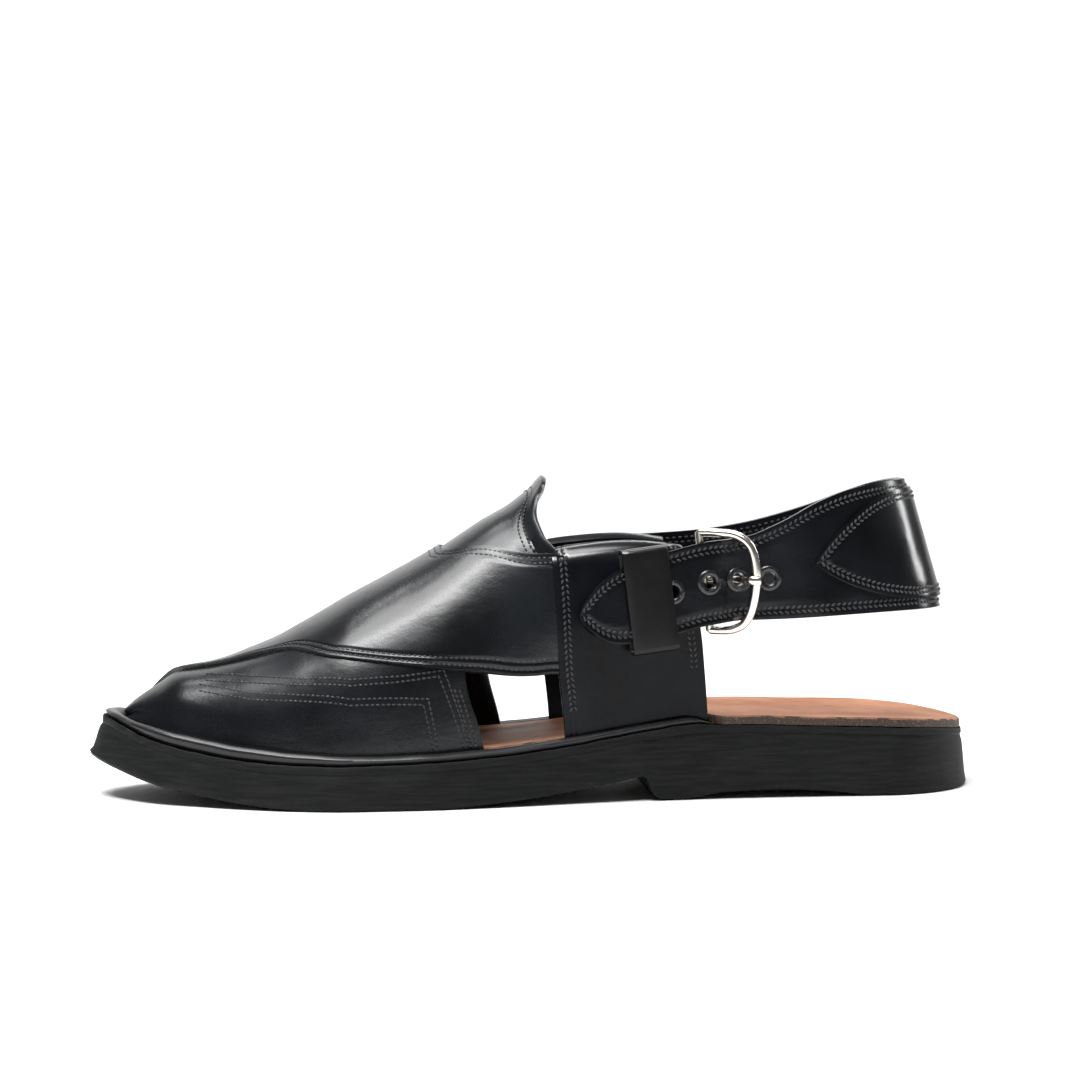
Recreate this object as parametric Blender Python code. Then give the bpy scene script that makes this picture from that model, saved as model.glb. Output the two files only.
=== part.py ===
"""A left peshawari chappal: crossed leather straps on a moulded rubber sole, with a buckled heel strap.

Metres, +Z up. The toe points to -X, the outer (lateral) side with the buckle is -Y, and the floor is Z = 0.
The origin is on the floor at the middle of the heel's rear flat. A place along the shoe is given as a share
of LENGTH from the back of the heel, and a place round the upper as a turn from -1 (lateral feather line)
over 0 (ridge of the instep) to +1 (medial feather line).
"""

import math

import bmesh
import bpy
from mathutils import Matrix, Vector

OBJECT_NAME = "peshawari_chappal"
LATERAL = -1
MEDIAL = 1

# Sizes of the last and the sole
LENGTH = 0.295
BALL_WIDTH = 0.100
INSTEP_HEIGHT = 0.102
HEEL_FLAT_CENTRE = 0.022
SEAT_HEIGHT = 0.0244
TOE_SPRING = 0.0137
ARCH_RISE = 0.0080
HEEL_HOLLOW = 0.0026
TOE_SWING = 0.005
SWING_FROM = 0.7
HEEL_ROUND = 0.033
TOE_ROUND = 0.028
EDGE_ROUND = 0.0012
WALL_FLARE = 0.0017
TOE_LEAN = 0.0044
LEAN_FROM = 0.9
WALL_KNEE_INSET, WALL_KNEE_HEIGHT = 0.6, 0.62
GAP = 0.0003

# Sizes of the pieces on the sole
INSOLE_THICKNESS = 0.0028
INSOLE_EDGE = 0.0004
WELT_WIDTH = 0.0050
WELT_WAIST_WIDTH = 0.0032
WELT_EDGE = 0.0008
WELT_HEIGHT = 0.0031
WELT_END = 0.309
WELT_FULL = 0.58
INSOLE_STEP = 0.300
STEP_REACH = 0.0075

# Faces of the leather, out from the surface of the last: inner, outer, and outer where it meets the sole
TONGUE_INNER, TONGUE_OUTER, TONGUE_FOOT = -0.0006, 0.0018, 0.0018
UNDER_INNER, UNDER_OUTER, UNDER_FOOT = 0.0002, 0.0025, 0.0016
OVER_INNER, OVER_OUTER, OVER_FOOT = 0.0010, 0.0036, 0.0023
QUARTER_INNER, QUARTER_OUTER, QUARTER_FOOT = 0.0016, 0.0042, 0.0029
STRAP_THICKNESS = 0.0026
CAP_THICKNESS = 0.0010
KEEPER_THICKNESS = 0.0014
KEEPER_WIDTH = 0.0150
KEEPER_HEIGHT = 0.0345
CHAPE_THICKNESS = 0.0010
CHAPE_HEIGHT = 0.0170
CHAPE_REACH = 0.0100

# Hardware
WIRE_RADIUS = 0.0014
PRONG_RADIUS = 0.0009
EYELET_RADIUS = 0.0042
EYELET_BORE = 0.0021
EYELET_BARREL = 0.0026
EYELET_FLANGE = 0.0007
FRAME_SLANT = 0.54
PRONG_LEAD = 0.0095
PRONG_DEPTH = 0.0026
PRONG_SKEW = 0.0025
PRONG_RISE = 0.0014
PRONG_TIP = 0.0010
BAR_WALL_ALONG = 0.335
BAR_MIDDLE = 0.700
SLOT_SHIFT = 0.0015
SLOT_LENGTH = 0.0110
SLOT_DEPTH = 0.0120

# Stand of the heel strap's middle surface off the quarter: a ply of the keeper and the chape lie under it
WALL_CROWN = 0.0008
LATERAL_STAND = STRAP_THICKNESS / 2 + KEEPER_THICKNESS + 2 * GAP + WALL_CROWN
MEDIAL_STAND = STRAP_THICKNESS / 2 + GAP + WALL_CROWN
TIP_DROP = 0.0012

# Small shares and fineness of the meshes
RIDGE_OFFSET = 1.08
BULGE_START, BULGE_END = 0.45, 0.30
SKIVE_START, SKIVE_TOE_START, SKIVE_REACH, TOE_FROM = 0.70, 0.40, 0.20, 0.82
RIM_LIP = 0.0006
INSOLE_BEVEL = 0.0005
HEEL_FRONT_LOW, HEEL_FRONT_HIGH = 0.32, 0.40
WELT_PROFILE = ((0, 0.1), (0, 0.5), (0.12, 0.82), (0.35, 1), (0.7, 1), (1, 0.8), (1, 0), (0.15, 0))
ANGLE_STEP = 0.01
PLAN_STEPS = 40
CLOSEST_STATION = 0.012
PATCH_ROWS = 24
PATCH_COLUMNS = 10
FRONT_CROWDING = 1.4
STRAP_SUBSTEPS = 3
FRAME_SUBSTEPS = 3
PRONG_SUBSTEPS = 2
SEARCH_STEPS = 24
BAND_STEPS = 3
CAP_SUBSTEPS = 2
CHAPE_SHOULDER = 0.0036
CHAPE_LEVELS = 4
CORNER_STEPS = 3
KEEPER_CORNER = 0.0008
HOLE_SIDES = 14
EYELET_SIDES = 14
WELD = 0.00001
SEAM_WELD = 0.00004

# Sections of the sole: along, widths from the centre line as shares of BALL_WIDTH, and the height of
# its top as a share of SEAT_HEIGHT. The last column is the height of the welt as a share of WELT_HEIGHT.
SOLE_COLUMNS = ("along", "lateral", "medial", "top", "welt")
SOLE_SECTIONS = (
    (0.00, 0.330, 0.330, 0.77, 0.9),
    (0.05, 0.335, 0.335, 0.86, 0.9),
    (0.12, 0.345, 0.340, 0.92, 0.9),
    (0.20, 0.346, 0.325, 0.95, 0.9),
    (0.27, 0.348, 0.303, 0.98, 0.9),
    (0.32, 0.354, 0.290, 0.98, 0.9),
    (0.38, 0.374, 0.286, 0.90, 0.9),
    (0.47, 0.420, 0.320, 0.73, 1.0),
    (0.56, 0.472, 0.392, 0.62, 1.0),
    (0.64, 0.504, 0.448, 0.575, 1.0),
    (0.71, 0.507, 0.474, 0.555, 1.1),
    (0.77, 0.476, 0.466, 0.565, 1.3),
    (0.83, 0.415, 0.420, 0.61, 1.5),
    (0.89, 0.335, 0.345, 0.72, 1.6),
    (0.94, 0.275, 0.285, 0.87, 1.45),
    (0.97, 0.245, 0.255, 1.02, 1.15),
    (1.00, 0.225, 0.235, 1.11, 0.9),
)

# Underside of the sole: along, then shares of TOE_SPRING, ARCH_RISE and HEEL_HOLLOW.
UNDERSIDE_COLUMNS = ("along", "spring", "arch", "hollow")
UNDERSIDE = (
    (0.000, 0.00, 0.00, 0.00),
    (0.125, 0.00, 0.00, 0.00),
    (0.175, 0.00, 0.00, 0.65),
    (0.240, 0.00, 0.00, 1.00),
    (0.295, 0.00, 0.00, 0.80),
    (0.332, 0.00, 0.00, 0.15),
    (0.352, 0.00, 0.00, 0.00),
    (0.366, 0.00, 0.05, 0.00),
    (0.3765, 0.00, 0.24, 0.00),
    (0.3865, 0.00, 1.00, 0.00),
    (0.410, 0.00, 0.86, 0.00),
    (0.458, 0.00, 0.56, 0.00),
    (0.508, 0.00, 0.32, 0.00),
    (0.558, 0.00, 0.14, 0.00),
    (0.610, 0.00, 0.00, 0.00),
    (0.735, 0.00, 0.00, 0.00),
    (0.770, 0.02, 0.00, 0.00),
    (0.817, 0.10, 0.00, 0.00),
    (0.868, 0.25, 0.00, 0.00),
    (0.902, 0.38, 0.00, 0.00),
    (0.936, 0.55, 0.00, 0.00),
    (0.966, 0.76, 0.00, 0.00),
    (1.000, 1.00, 0.00, 0.00),
)

# Sections of the last: along, ridge height as a share of INSTEP_HEIGHT, fullness of the section (2 is
# an ellipse), then the ridge's shift to the medial side and the bulge of each side, as shares of BALL_WIDTH.
LAST_COLUMNS = ("along", "ridge", "fullness", "shift", "bulge_lateral", "bulge_medial")
LAST_SECTIONS = (
    (0.30, 1.200, 3.2, 0.02, 0.030, 0.060),
    (0.38, 1.130, 3.0, 0.03, 0.030, 0.060),
    (0.44, 1.055, 2.8, 0.04, 0.022, 0.045),
    (0.482, 0.998, 2.6, 0.04, 0.014, 0.030),
    (0.500, 0.959, 2.5, 0.04, 0.010, 0.022),
    (0.520, 0.915, 2.45, 0.04, 0.006, 0.014),
    (0.550, 0.866, 2.4, 0.04, 0.00, 0.006),
    (0.603, 0.765, 2.35, 0.04, 0.00, 0.00),
    (0.658, 0.677, 2.3, 0.04, 0.00, 0.00),
    (0.712, 0.599, 2.25, 0.03, 0.00, 0.00),
    (0.766, 0.515, 2.2, 0.02, 0.00, 0.00),
    (0.820, 0.445, 2.15, 0.01, 0.00, 0.00),
    (0.870, 0.399, 2.15, 0.00, 0.00, 0.00),
    (0.915, 0.373, 2.1, 0.00, 0.00, 0.00),
    (0.940, 0.332, 2.1, 0.00, 0.00, 0.00),
    (0.960, 0.304, 2.1, 0.00, 0.00, 0.00),
    (0.980, 0.276, 2.1, 0.00, 0.00, 0.00),
    (1.000, 0.247, 2.1, 0.00, 0.00, 0.00),
)

# Edges of each strap of the upper, row by row from one end to the other: along and turn of the front or
# lower edge, then along and turn of the rear or upper edge.
EDGE_COLUMNS = ("front_along", "front_turn", "rear_along", "rear_turn")
OVER_STRAP = (
    (0.985, 1.00, 0.519, 1.00),
    (0.978, 0.80, 0.533, 0.89),
    (0.965, 0.55, 0.542, 0.78),
    (0.945, 0.32, 0.556, 0.58),
    (0.925, 0.13, 0.577, 0.34),
    (0.900, -0.03, 0.598, 0.08),
    (0.850, -0.12, 0.600, -0.10),
    (0.790, -0.26, 0.585, -0.225),
    (0.735, -0.50, 0.566, -0.29),
    (0.670, -0.645, 0.548, -0.35),
    (0.600, -0.752, 0.524, -0.43),
    (0.545, -0.817, 0.502, -0.50),
    (0.462, -0.895, 0.462, -0.60),
)
UNDER_STRAP = (
    (0.995, -1.00, 0.557, -1.00),
    (0.995, -0.85, 0.565, -0.93),
    (0.995, -0.65, 0.577, -0.82),
    (0.995, -0.40, 0.583, -0.60),
    (0.995, -0.10, 0.592, -0.34),
    (0.995, 0.25, 0.600, -0.08),
    (0.985, 0.60, 0.598, 0.10),
    (0.930, 0.75, 0.585, 0.225),
    (0.800, 0.72, 0.566, 0.29),
    (0.690, 0.72, 0.548, 0.35),
    (0.600, 0.76, 0.524, 0.43),
    (0.545, 0.817, 0.502, 0.50),
    (0.462, 0.895, 0.462, 0.60),
)
TONGUE = (
    (0.640, -0.66, 0.464, -0.66),
    (0.660, -0.55, 0.472, -0.56),
    (0.670, -0.42, 0.486, -0.457),
    (0.680, -0.30, 0.4926, -0.322),
    (0.690, -0.20, 0.489, -0.226),
    (0.700, -0.11, 0.480, -0.125),
    (0.700, 0.00, 0.478, 0.00),
    (0.700, 0.11, 0.480, 0.125),
    (0.690, 0.20, 0.489, 0.226),
    (0.680, 0.30, 0.4926, 0.322),
    (0.670, 0.42, 0.486, 0.457),
    (0.660, 0.55, 0.472, 0.56),
    (0.640, 0.66, 0.464, 0.66),
)
QUARTER = (
    (0.468, 1.000, 0.311, 1.000),
    (0.4715, 0.940, 0.315, 0.955),
    (0.4745, 0.888, 0.3175, 0.920),
    (0.477, 0.800, 0.323, 0.860),
    (0.479, 0.700, 0.329, 0.800),
    (0.481, 0.600, 0.334, 0.740),
    (0.483, 0.503, 0.3385, 0.687),
)

# Heel strap, row by row from the pointed lateral end round the heel to the medial end. Each row has a low
# and a top point: along as a share of LENGTH, side as a share of BALL_WIDTH and height as a share of
# INSTEP_HEIGHT. Where side is None, the strap lies on the quarter of the row's end of the table.
STRAP_COLUMNS = ("low_along", "low_side", "low_height", "top_along", "top_side", "top_height")
HEEL_STRAP = (
    (0.4555, None, 0.590, 0.4555, None, 0.598),
    (0.4490, None, 0.556, 0.4490, None, 0.650),
    (0.4350, None, 0.523, 0.4350, None, 0.698),
    (0.4140, None, 0.505, 0.4140, None, 0.739),
    (0.3800, None, 0.516, 0.3800, None, 0.778),
    (0.3500, None, 0.534, 0.3500, None, 0.802),
    (0.3220, -0.380, 0.556, 0.3220, -0.366, 0.822),
    (0.3068, -0.367, 0.563, 0.3068, -0.358, 0.828),
    (0.2932, -0.347, 0.568, 0.2932, -0.342, 0.831),
    (0.2780, -0.336, 0.572, 0.2780, -0.333, 0.838),
    (0.2610, -0.341, 0.573, 0.2610, -0.334, 0.848),
    (0.2240, -0.350, 0.576, 0.2270, -0.336, 0.892),
    (0.1860, -0.350, 0.581, 0.1930, -0.326, 0.944),
    (0.1490, -0.333, 0.586, 0.1590, -0.297, 0.981),
    (0.1100, -0.296, 0.590, 0.1270, -0.248, 1.000),
    (0.0700, -0.224, 0.591, 0.0990, -0.176, 1.008),
    (0.0430, -0.120, 0.590, 0.0810, -0.090, 1.010),
    (0.0340, 0.000, 0.590, 0.0760, 0.000, 1.010),
    (0.0430, 0.120, 0.590, 0.0810, 0.090, 1.008),
    (0.0700, 0.224, 0.590, 0.0990, 0.176, 0.992),
    (0.1100, 0.292, 0.588, 0.1270, 0.246, 0.960),
    (0.1490, 0.324, 0.585, 0.1590, 0.290, 0.922),
    (0.1860, 0.334, 0.580, 0.1930, 0.312, 0.890),
    (0.2240, 0.334, 0.574, 0.2270, 0.322, 0.864),
    (0.2610, 0.331, 0.568, 0.2610, 0.322, 0.846),
    (0.2950, None, 0.562, 0.2950, None, 0.834),
    (0.3400, None, 0.556, 0.3400, None, 0.826),
    (0.3900, None, 0.556, 0.3900, None, 0.820),
    (0.4250, None, 0.560, 0.4250, None, 0.812),
)

# Heel cap, from its lateral point to its medial point: the row of the strap, then its lower and upper edge
# as shares of the strap's height there.
CAP_COLUMNS = ("row", "low", "high")
HEEL_CAP = (
    (11.85, 0.46, 0.50),
    (12.3, 0.34, 0.63),
    (13.0, 0.22, 0.76),
    (14.0, 0.12, 0.88),
    (15.0, 0.08, 0.925),
    (16.0, 0.08, 0.93),
    (17.0, 0.08, 0.93),
    (18.0, 0.08, 0.93),
    (19.0, 0.08, 0.925),
    (20.0, 0.12, 0.88),
    (21.0, 0.22, 0.76),
    (21.7, 0.34, 0.63),
    (22.15, 0.46, 0.50),
)

# Buckle frame: along and height of its wire, from the foot of the bar round the loop to its head.
FRAME_COLUMNS = ("along", "height")
FRAME_POINTS = (
    (0.3105, 0.541),
    (0.2995, 0.541),
    (0.2870, 0.551),
    (0.2755, 0.581),
    (0.2665, 0.637),
    (0.2625, 0.701),
    (0.2655, 0.755),
    (0.2730, 0.804),
    (0.2880, 0.841),
    (0.3080, 0.853),
    (0.3225, 0.853),
)

# Eyelets: along and height on the strap.
EYELETS = ((0.3560, 0.667), (0.3150, 0.696), (0.2810, 0.703), (0.2465, 0.706))
PRONG_EYELET = 2
KEEPER_ALONG = 0.3815
KEEPER_MIDDLE = 0.642
KEEPER_TILT = 6.5

# Shares of one table column at a place, by monotone cubic interpolation


def column(table, columns, name):
    """The pairs of the first column and the named one."""
    index = columns.index(name)
    return [(row[0], row[index]) for row in table]


def smooth_value(pairs, place):
    """A smooth value between rows that never overshoots them."""
    places = [pair[0] for pair in pairs]
    values = [pair[1] for pair in pairs]
    if place <= places[0]:
        return values[0]
    if place >= places[-1]:
        return values[-1]
    steps = [b - a for a, b in zip(places, places[1:])]
    slopes = [(b - a) / step for a, b, step in zip(values, values[1:], steps)]
    tangents = [slopes[0]]
    for before, after in zip(slopes, slopes[1:]):
        same_way = before * after > 0
        tangents.append(2 * before * after / (before + after) if same_way else 0.0)
    tangents.append(slopes[-1])
    index = max(i for i, value in enumerate(places[:-1]) if value <= place)
    step = steps[index]
    share = (place - places[index]) / step
    start, end = values[index], values[index + 1]
    lift = share * share * (3 - 2 * share)
    bend_in = share * (1 - share) ** 2 * step * tangents[index]
    bend_out = share * share * (share - 1) * step * tangents[index + 1]
    return start + (end - start) * lift + bend_in + bend_out


def ease(share):
    """A smooth step from 0 to 1."""
    share = min(1.0, max(0.0, share))
    return share * share * (3 - 2 * share)


def mix(start, end, share):
    return start + (end - start) * share


SOLE = {name: column(SOLE_SECTIONS, SOLE_COLUMNS, name) for name in SOLE_COLUMNS[1:]}
UNDER = {name: column(UNDERSIDE, UNDERSIDE_COLUMNS, name) for name in UNDERSIDE_COLUMNS[1:]}
LAST = {name: column(LAST_SECTIONS, LAST_COLUMNS, name) for name in LAST_COLUMNS[1:]}


# Plan and heights of the sole


def angle_of(along):
    """The station angle of a share of the length, which is smooth round both ends."""
    return math.acos(1 - 2 * min(1.0, max(0.0, along)))


def place_x(along):
    return HEEL_FLAT_CENTRE - along * LENGTH


def along_of(x):
    return (HEEL_FLAT_CENTRE - x) / LENGTH


def outline_point(angle, side):
    """A point of the sole's outline in plan. Past either end, the angle carries on along the other side."""
    if angle < 0:
        angle, side = -angle, -side
    if angle > math.pi:
        angle, side = 2 * math.pi - angle, -side
    along = (1 - math.cos(angle)) / 2
    width = smooth_value(SOLE["lateral" if side == LATERAL else "medial"], along) * BALL_WIDTH
    for reach, distance in ((HEEL_ROUND, along * LENGTH), (TOE_ROUND, (1 - along) * LENGTH)):
        if distance < reach:
            width *= math.sqrt(max(0.0, 1 - (1 - distance / reach) ** 2))
    swing = TOE_SWING * max(0.0, (along - SWING_FROM) / (1 - SWING_FROM)) ** 2
    return Vector((place_x(along), swing + side * width))


def plan_point(along, side, inset):
    """A point inside the outline, at the inset from it, measured square to it."""
    angle = angle_of(along)
    tangent = outline_point(angle + ANGLE_STEP, side) - outline_point(angle - ANGLE_STEP, side)
    tangent.normalize()
    inward = Vector((-tangent.y, tangent.x)) * side
    if along <= 0:
        inward = Vector((-1, 0))
    if along >= 1:
        inward = Vector((1, 0))
    return outline_point(angle, side) + inward * inset


def underside(x):
    """Height of the sole's underside above the floor."""
    along = along_of(x)
    return (
        smooth_value(UNDER["spring"], along) * TOE_SPRING
        + smooth_value(UNDER["arch"], along) * ARCH_RISE
        + smooth_value(UNDER["hollow"], along) * HEEL_HOLLOW
    )


def sole_top(x):
    return smooth_value(SOLE["top"], along_of(x)) * SEAT_HEIGHT


def rim_inset(along):
    """How far the top of the sole's wall stands in from its foot."""
    return WALL_FLARE + (TOE_LEAN - WALL_FLARE) * ease((along - LEAN_FROM) / (1 - LEAN_FROM))


def welt_width(along):
    return mix(WELT_WAIST_WIDTH, WELT_WIDTH, ease((along - WELT_END) / (WELT_FULL - WELT_END)))


def feather_inset(along):
    """Where the last's feather line runs, inside the welt and the leather."""
    return rim_inset(along) + WELT_EDGE + welt_width(along) + GAP + QUARTER_FOOT


def insole_inset(along):
    """The insole lies inside the upper, and from the step back it covers the whole seat."""
    share = ease((along - INSOLE_STEP) / STEP_REACH)
    return mix(rim_inset(along) + INSOLE_EDGE, feather_inset(along) + GAP, share)


# The last: every leather piece of the upper lies at its own offset from this surface


def last_point(along, turn, offset):
    """A point of the upper at an offset outside the last."""
    side = LATERAL if turn < 0 else MEDIAL
    fullness = smooth_value(LAST["fullness"], along)
    inset = feather_inset(along) - offset
    lateral = plan_point(along, LATERAL, inset)
    medial = plan_point(along, MEDIAL, inset)
    middle = (lateral + medial) / 2
    angle = abs(turn) * math.pi / 2
    across = math.sin(angle) ** (2 / fullness)
    rise = max(0.0, math.cos(angle)) ** (2 / fullness)
    edge = lateral if side == LATERAL else medial
    plan = middle + (edge - middle) * across
    feather = sole_top(edge.x) + GAP
    ridge = smooth_value(LAST["ridge"], along) * INSTEP_HEIGHT + offset * RIDGE_OFFSET
    height = feather + (ridge - feather) * rise
    bulge = smooth_value(LAST["bulge_lateral" if side == LATERAL else "bulge_medial"], along)
    plan.y += side * bulge * BALL_WIDTH * ease(rise / BULGE_START) * ease((1 - rise) / BULGE_END)
    plan.y += smooth_value(LAST["shift"], along) * BALL_WIDTH * rise * (1 - across)
    return Vector((plan.x, plan.y, height))


def leather_offset(full, foot, along, turn):
    """The outer offset of a strap, skived down to the feather wall where it meets the sole."""
    start = mix(SKIVE_START, SKIVE_TOE_START, ease((along - TOE_FROM) / (1 - TOE_FROM)))
    return mix(full, foot, ease((abs(turn) - start) / SKIVE_REACH))


def quarter_side(side, along, height, offset):
    """The quarter's distance from the centre plane at a height, for a face at an offset from the last."""
    low, high = 0.0, 1.0
    for _ in range(SEARCH_STEPS):
        turn = (low + high) / 2
        if last_point(along, side * turn, offset).z > height:
            low = turn
        else:
            high = turn
    return last_point(along, side * turn, offset).y


# Meshes


def material(name, colour, roughness, metallic=0.0):
    made = bpy.data.materials.new(name)
    made.use_nodes = True
    shader = made.node_tree.nodes["Principled BSDF"]
    shader.inputs["Base Color"].default_value = (*colour, 1.0)
    shader.inputs["Roughness"].default_value = roughness
    shader.inputs["Metallic"].default_value = metallic
    return made


def add_object(name, mesh, surface, collection, sharp=40):
    mesh.materials.append(surface)
    mesh.shade_smooth()
    mesh.set_sharp_from_angle(angle=math.radians(sharp))
    made = bpy.data.objects.new(name, mesh)
    collection.objects.link(made)
    return made


def mesh_from(name, points, faces):
    """A closed mesh. Points that coincide are one, and faces that shrink to nothing are left out."""
    shell = bmesh.new()
    known = {}
    verts = []
    for point in points:
        key = tuple(round(value, 7) for value in point)
        if key not in known:
            known[key] = shell.verts.new(point)
        verts.append(known[key])
    for face in faces:
        corners = []
        for index in face:
            if verts[index] not in corners:
                corners.append(verts[index])
        if len(corners) > 2 and shell.faces.get(corners) is None:
            shell.faces.new(corners)
    bmesh.ops.recalc_face_normals(shell, faces=shell.faces)
    if shell.calc_volume(signed=True) < 0:
        bmesh.ops.reverse_faces(shell, faces=shell.faces)
    mesh = bpy.data.meshes.new(name)
    shell.to_mesh(mesh)
    shell.free()
    return mesh


def loft(name, rings):
    """A closed body through rings of equally many points, capped at both ends."""
    count = len(rings[0])
    points = [point for ring in rings for point in ring]
    faces = [tuple(range(count)), tuple(range(len(points) - count, len(points)))]
    for start in range(0, len(points) - count, count):
        for i in range(count):
            after = (i + 1) % count
            faces.append((start + i, start + after, start + count + after, start + count + i))
    return mesh_from(name, points, faces)


def plan_stations(extra=()):
    """Station shares from heel to toe, close together at both ends, with the extra ones put in."""
    angles = [math.pi * i / PLAN_STEPS for i in range(PLAN_STEPS + 1)]
    extra_angles = [angle_of(share) for share in extra]
    kept = [a for a in angles if all(abs(a - b) > CLOSEST_STATION for b in extra_angles)]
    return [(1 - math.cos(a)) / 2 for a in sorted(kept + extra_angles)]


def stack(name, stations, levels):
    """A slab whose outline is the sole's. Each level has a function of the inset and one of the height."""
    points, faces = [], []
    count = len(stations)
    for inset, height in levels:
        for side in (LATERAL, MEDIAL):
            for along in stations:
                plan = plan_point(along, side, inset(along))
                points.append(Vector((plan.x, plan.y, height(plan.x, along))))
    for level in range(len(levels) - 1):
        for start in (2 * level * count, (2 * level + 1) * count):
            for i in range(start, start + count - 1):
                faces.append((i, i + 1, i + 1 + 2 * count, i + 2 * count))
    for start in (0, 2 * (len(levels) - 1) * count):
        for i in range(start, start + count - 1):
            faces.append((i, i + 1, i + 1 + count, i + count))
    return mesh_from(name, points, faces)


def strap_patch(name, table, inner, outer, foot, side=1):
    """A strap of the upper between its two edges, as a shell from the inner to the outer offset."""
    rows = range(len(table))
    edges = [[(i, row[c]) for i, row in zip(rows, table)] for c in range(len(EDGE_COLUMNS))]
    points = []
    last_row = len(table) - 1
    down, across = PATCH_ROWS, PATCH_COLUMNS
    for shell in (inner, outer):
        for i in range(down + 1):
            place = last_row * i / down
            front_along, front_turn, rear_along, rear_turn = (smooth_value(e, place) for e in edges)
            for j in range(across + 1):
                share = (j / across) ** FRONT_CROWDING
                along = mix(front_along, rear_along, share)
                turn = side * mix(front_turn, rear_turn, share)
                offset = shell if shell == inner else leather_offset(outer, foot, along, turn)
                points.append(last_point(along, turn, offset))
    width = across + 1
    size = (down + 1) * width
    faces = []
    for start in (0, size):
        for i in range(down):
            for j in range(across):
                a = start + i * width + j
                faces.append((a, a + 1, a + 1 + width, a + width))
    border = [j for j in range(across)] + [i * width + across for i in range(down)]
    border += [down * width + j for j in range(across, 0, -1)] + [i * width for i in range(down, 0, -1)]
    for a, b in zip(border, border[1:] + border[:1]):
        faces.append((a, b, b + size, a + size))
    return mesh_from(name, points, faces)


def wire_mesh(name, points, radius, collection, closed=False):
    """A round wire along the points, as a mesh with its ends closed."""
    curve = bpy.data.curves.new(name, "CURVE")
    curve.dimensions = "3D"
    curve.bevel_depth = radius
    curve.bevel_resolution = 2
    curve.use_fill_caps = True
    spline = curve.splines.new("POLY")
    spline.points.add(len(points) - 1)
    for knot, point in zip(spline.points, points):
        knot.co = (*point, 1.0)
    spline.use_cyclic_u = closed
    guide = bpy.data.objects.new(name + "_guide", curve)
    collection.objects.link(guide)
    evaluated = guide.evaluated_get(bpy.context.evaluated_depsgraph_get())
    mesh = bpy.data.meshes.new_from_object(evaluated)
    bpy.data.objects.remove(guide)
    bpy.data.curves.remove(curve)
    shell = bmesh.new()
    shell.from_mesh(mesh)
    bmesh.ops.remove_doubles(shell, verts=shell.verts, dist=WELD)
    bmesh.ops.recalc_face_normals(shell, faces=shell.faces)
    shell.to_mesh(mesh)
    shell.free()
    mesh.name = name
    return mesh


def smooth_path(points, steps, closed=False):
    """Points along a smooth curve through the given ones."""
    count = len(points)
    found = []
    for i in range(count if closed else count - 1):
        around = [points[(i + k) % count if closed else min(count - 1, max(0, i + k))] for k in (-1, 0, 1, 2)]
        before, start, end, after = around
        for step in range(steps):
            t = step / steps
            found.append(
                start * 0.5 * (2 - 5 * t * t + 3 * t**3)
                + before * 0.5 * (-t + 2 * t * t - t**3)
                + end * 0.5 * (t + 4 * t * t - 3 * t**3)
                + after * 0.5 * (t**3 - t * t)
            )
    if not closed:
        found.append(points[-1].copy())
    return found


def boolean(target, tool, operation):
    modifier = target.modifiers.new(operation.title() + "_" + tool.name, "BOOLEAN")
    modifier.operation = operation
    modifier.solver = "EXACT"
    modifier.object = tool


# The heel strap


def strap_knots(level):
    """The strap's low or top points at the table's rows. Those on a quarter stand off its outer face."""
    index = STRAP_COLUMNS.index(level + "_along")
    knots = []
    for row, values in enumerate(HEEL_STRAP):
        along, side, height = values[index], values[index + 1], values[index + 2] * INSTEP_HEIGHT
        if side is None:
            hand = LATERAL if row < len(HEEL_STRAP) / 2 else MEDIAL
            stand = LATERAL_STAND if hand == LATERAL else MEDIAL_STAND
            stand -= TIP_DROP if row == 0 else 0
            y = quarter_side(hand, along, height, QUARTER_OUTER) + hand * stand
        else:
            y = side * BALL_WIDTH
        knots.append(Vector((place_x(along), y, height)))
    return knots


def strap_rows():
    """Low and top points of the strap's middle surface and its outward direction, sampled along it."""
    low_line = smooth_path(strap_knots("low"), STRAP_SUBSTEPS)
    top_line = smooth_path(strap_knots("top"), STRAP_SUBSTEPS)
    rows = []
    last = len(low_line) - 1
    for i, (low, top) in enumerate(zip(low_line, top_line)):
        before, after = max(0, i - 1), min(last, i + 1)
        run = low_line[after] + top_line[after] - low_line[before] - top_line[before]
        run.z = 0
        rows.append((low, top, run.cross(top - low).normalized()))
    return rows


def strap_at(rows, place):
    """The strap's low and top point and outward direction at a place counted in rows of the table."""
    index = min(len(rows) - 2, int(place * STRAP_SUBSTEPS))
    share = place * STRAP_SUBSTEPS - index
    (low_a, top_a, out_a), (low_b, top_b, out_b) = rows[index], rows[index + 1]
    return low_a.lerp(low_b, share), top_a.lerp(top_b, share), out_a.lerp(out_b, share).normalized()


def strap_face(rows, along, height, offset):
    """A point on the strap's lateral part at an along share and a height, and the direction out of it."""
    low_place, high_place = 0.0, len(HEEL_STRAP) / 2 - 1
    for _ in range(SEARCH_STEPS):
        place = (low_place + high_place) / 2
        low, top, out = strap_at(rows, place)
        middle = low.lerp(top, (height - low.z) / (top.z - low.z))
        if middle.x < place_x(along):
            low_place = place
        else:
            high_place = place
    return middle + out * offset, out


def band_ring(row, inner, outer, low_share=0.0, high_share=1.0):
    """A closed section of a band, up its inner face and down its outer face."""
    low, top, out = row
    shares = [mix(low_share, high_share, i / BAND_STEPS) for i in range(BAND_STEPS + 1)]
    up = [low.lerp(top, share) + out * inner for share in shares]
    down = [low.lerp(top, share) + out * outer for share in reversed(shares)]
    return up + down


# Sub-parts


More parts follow.
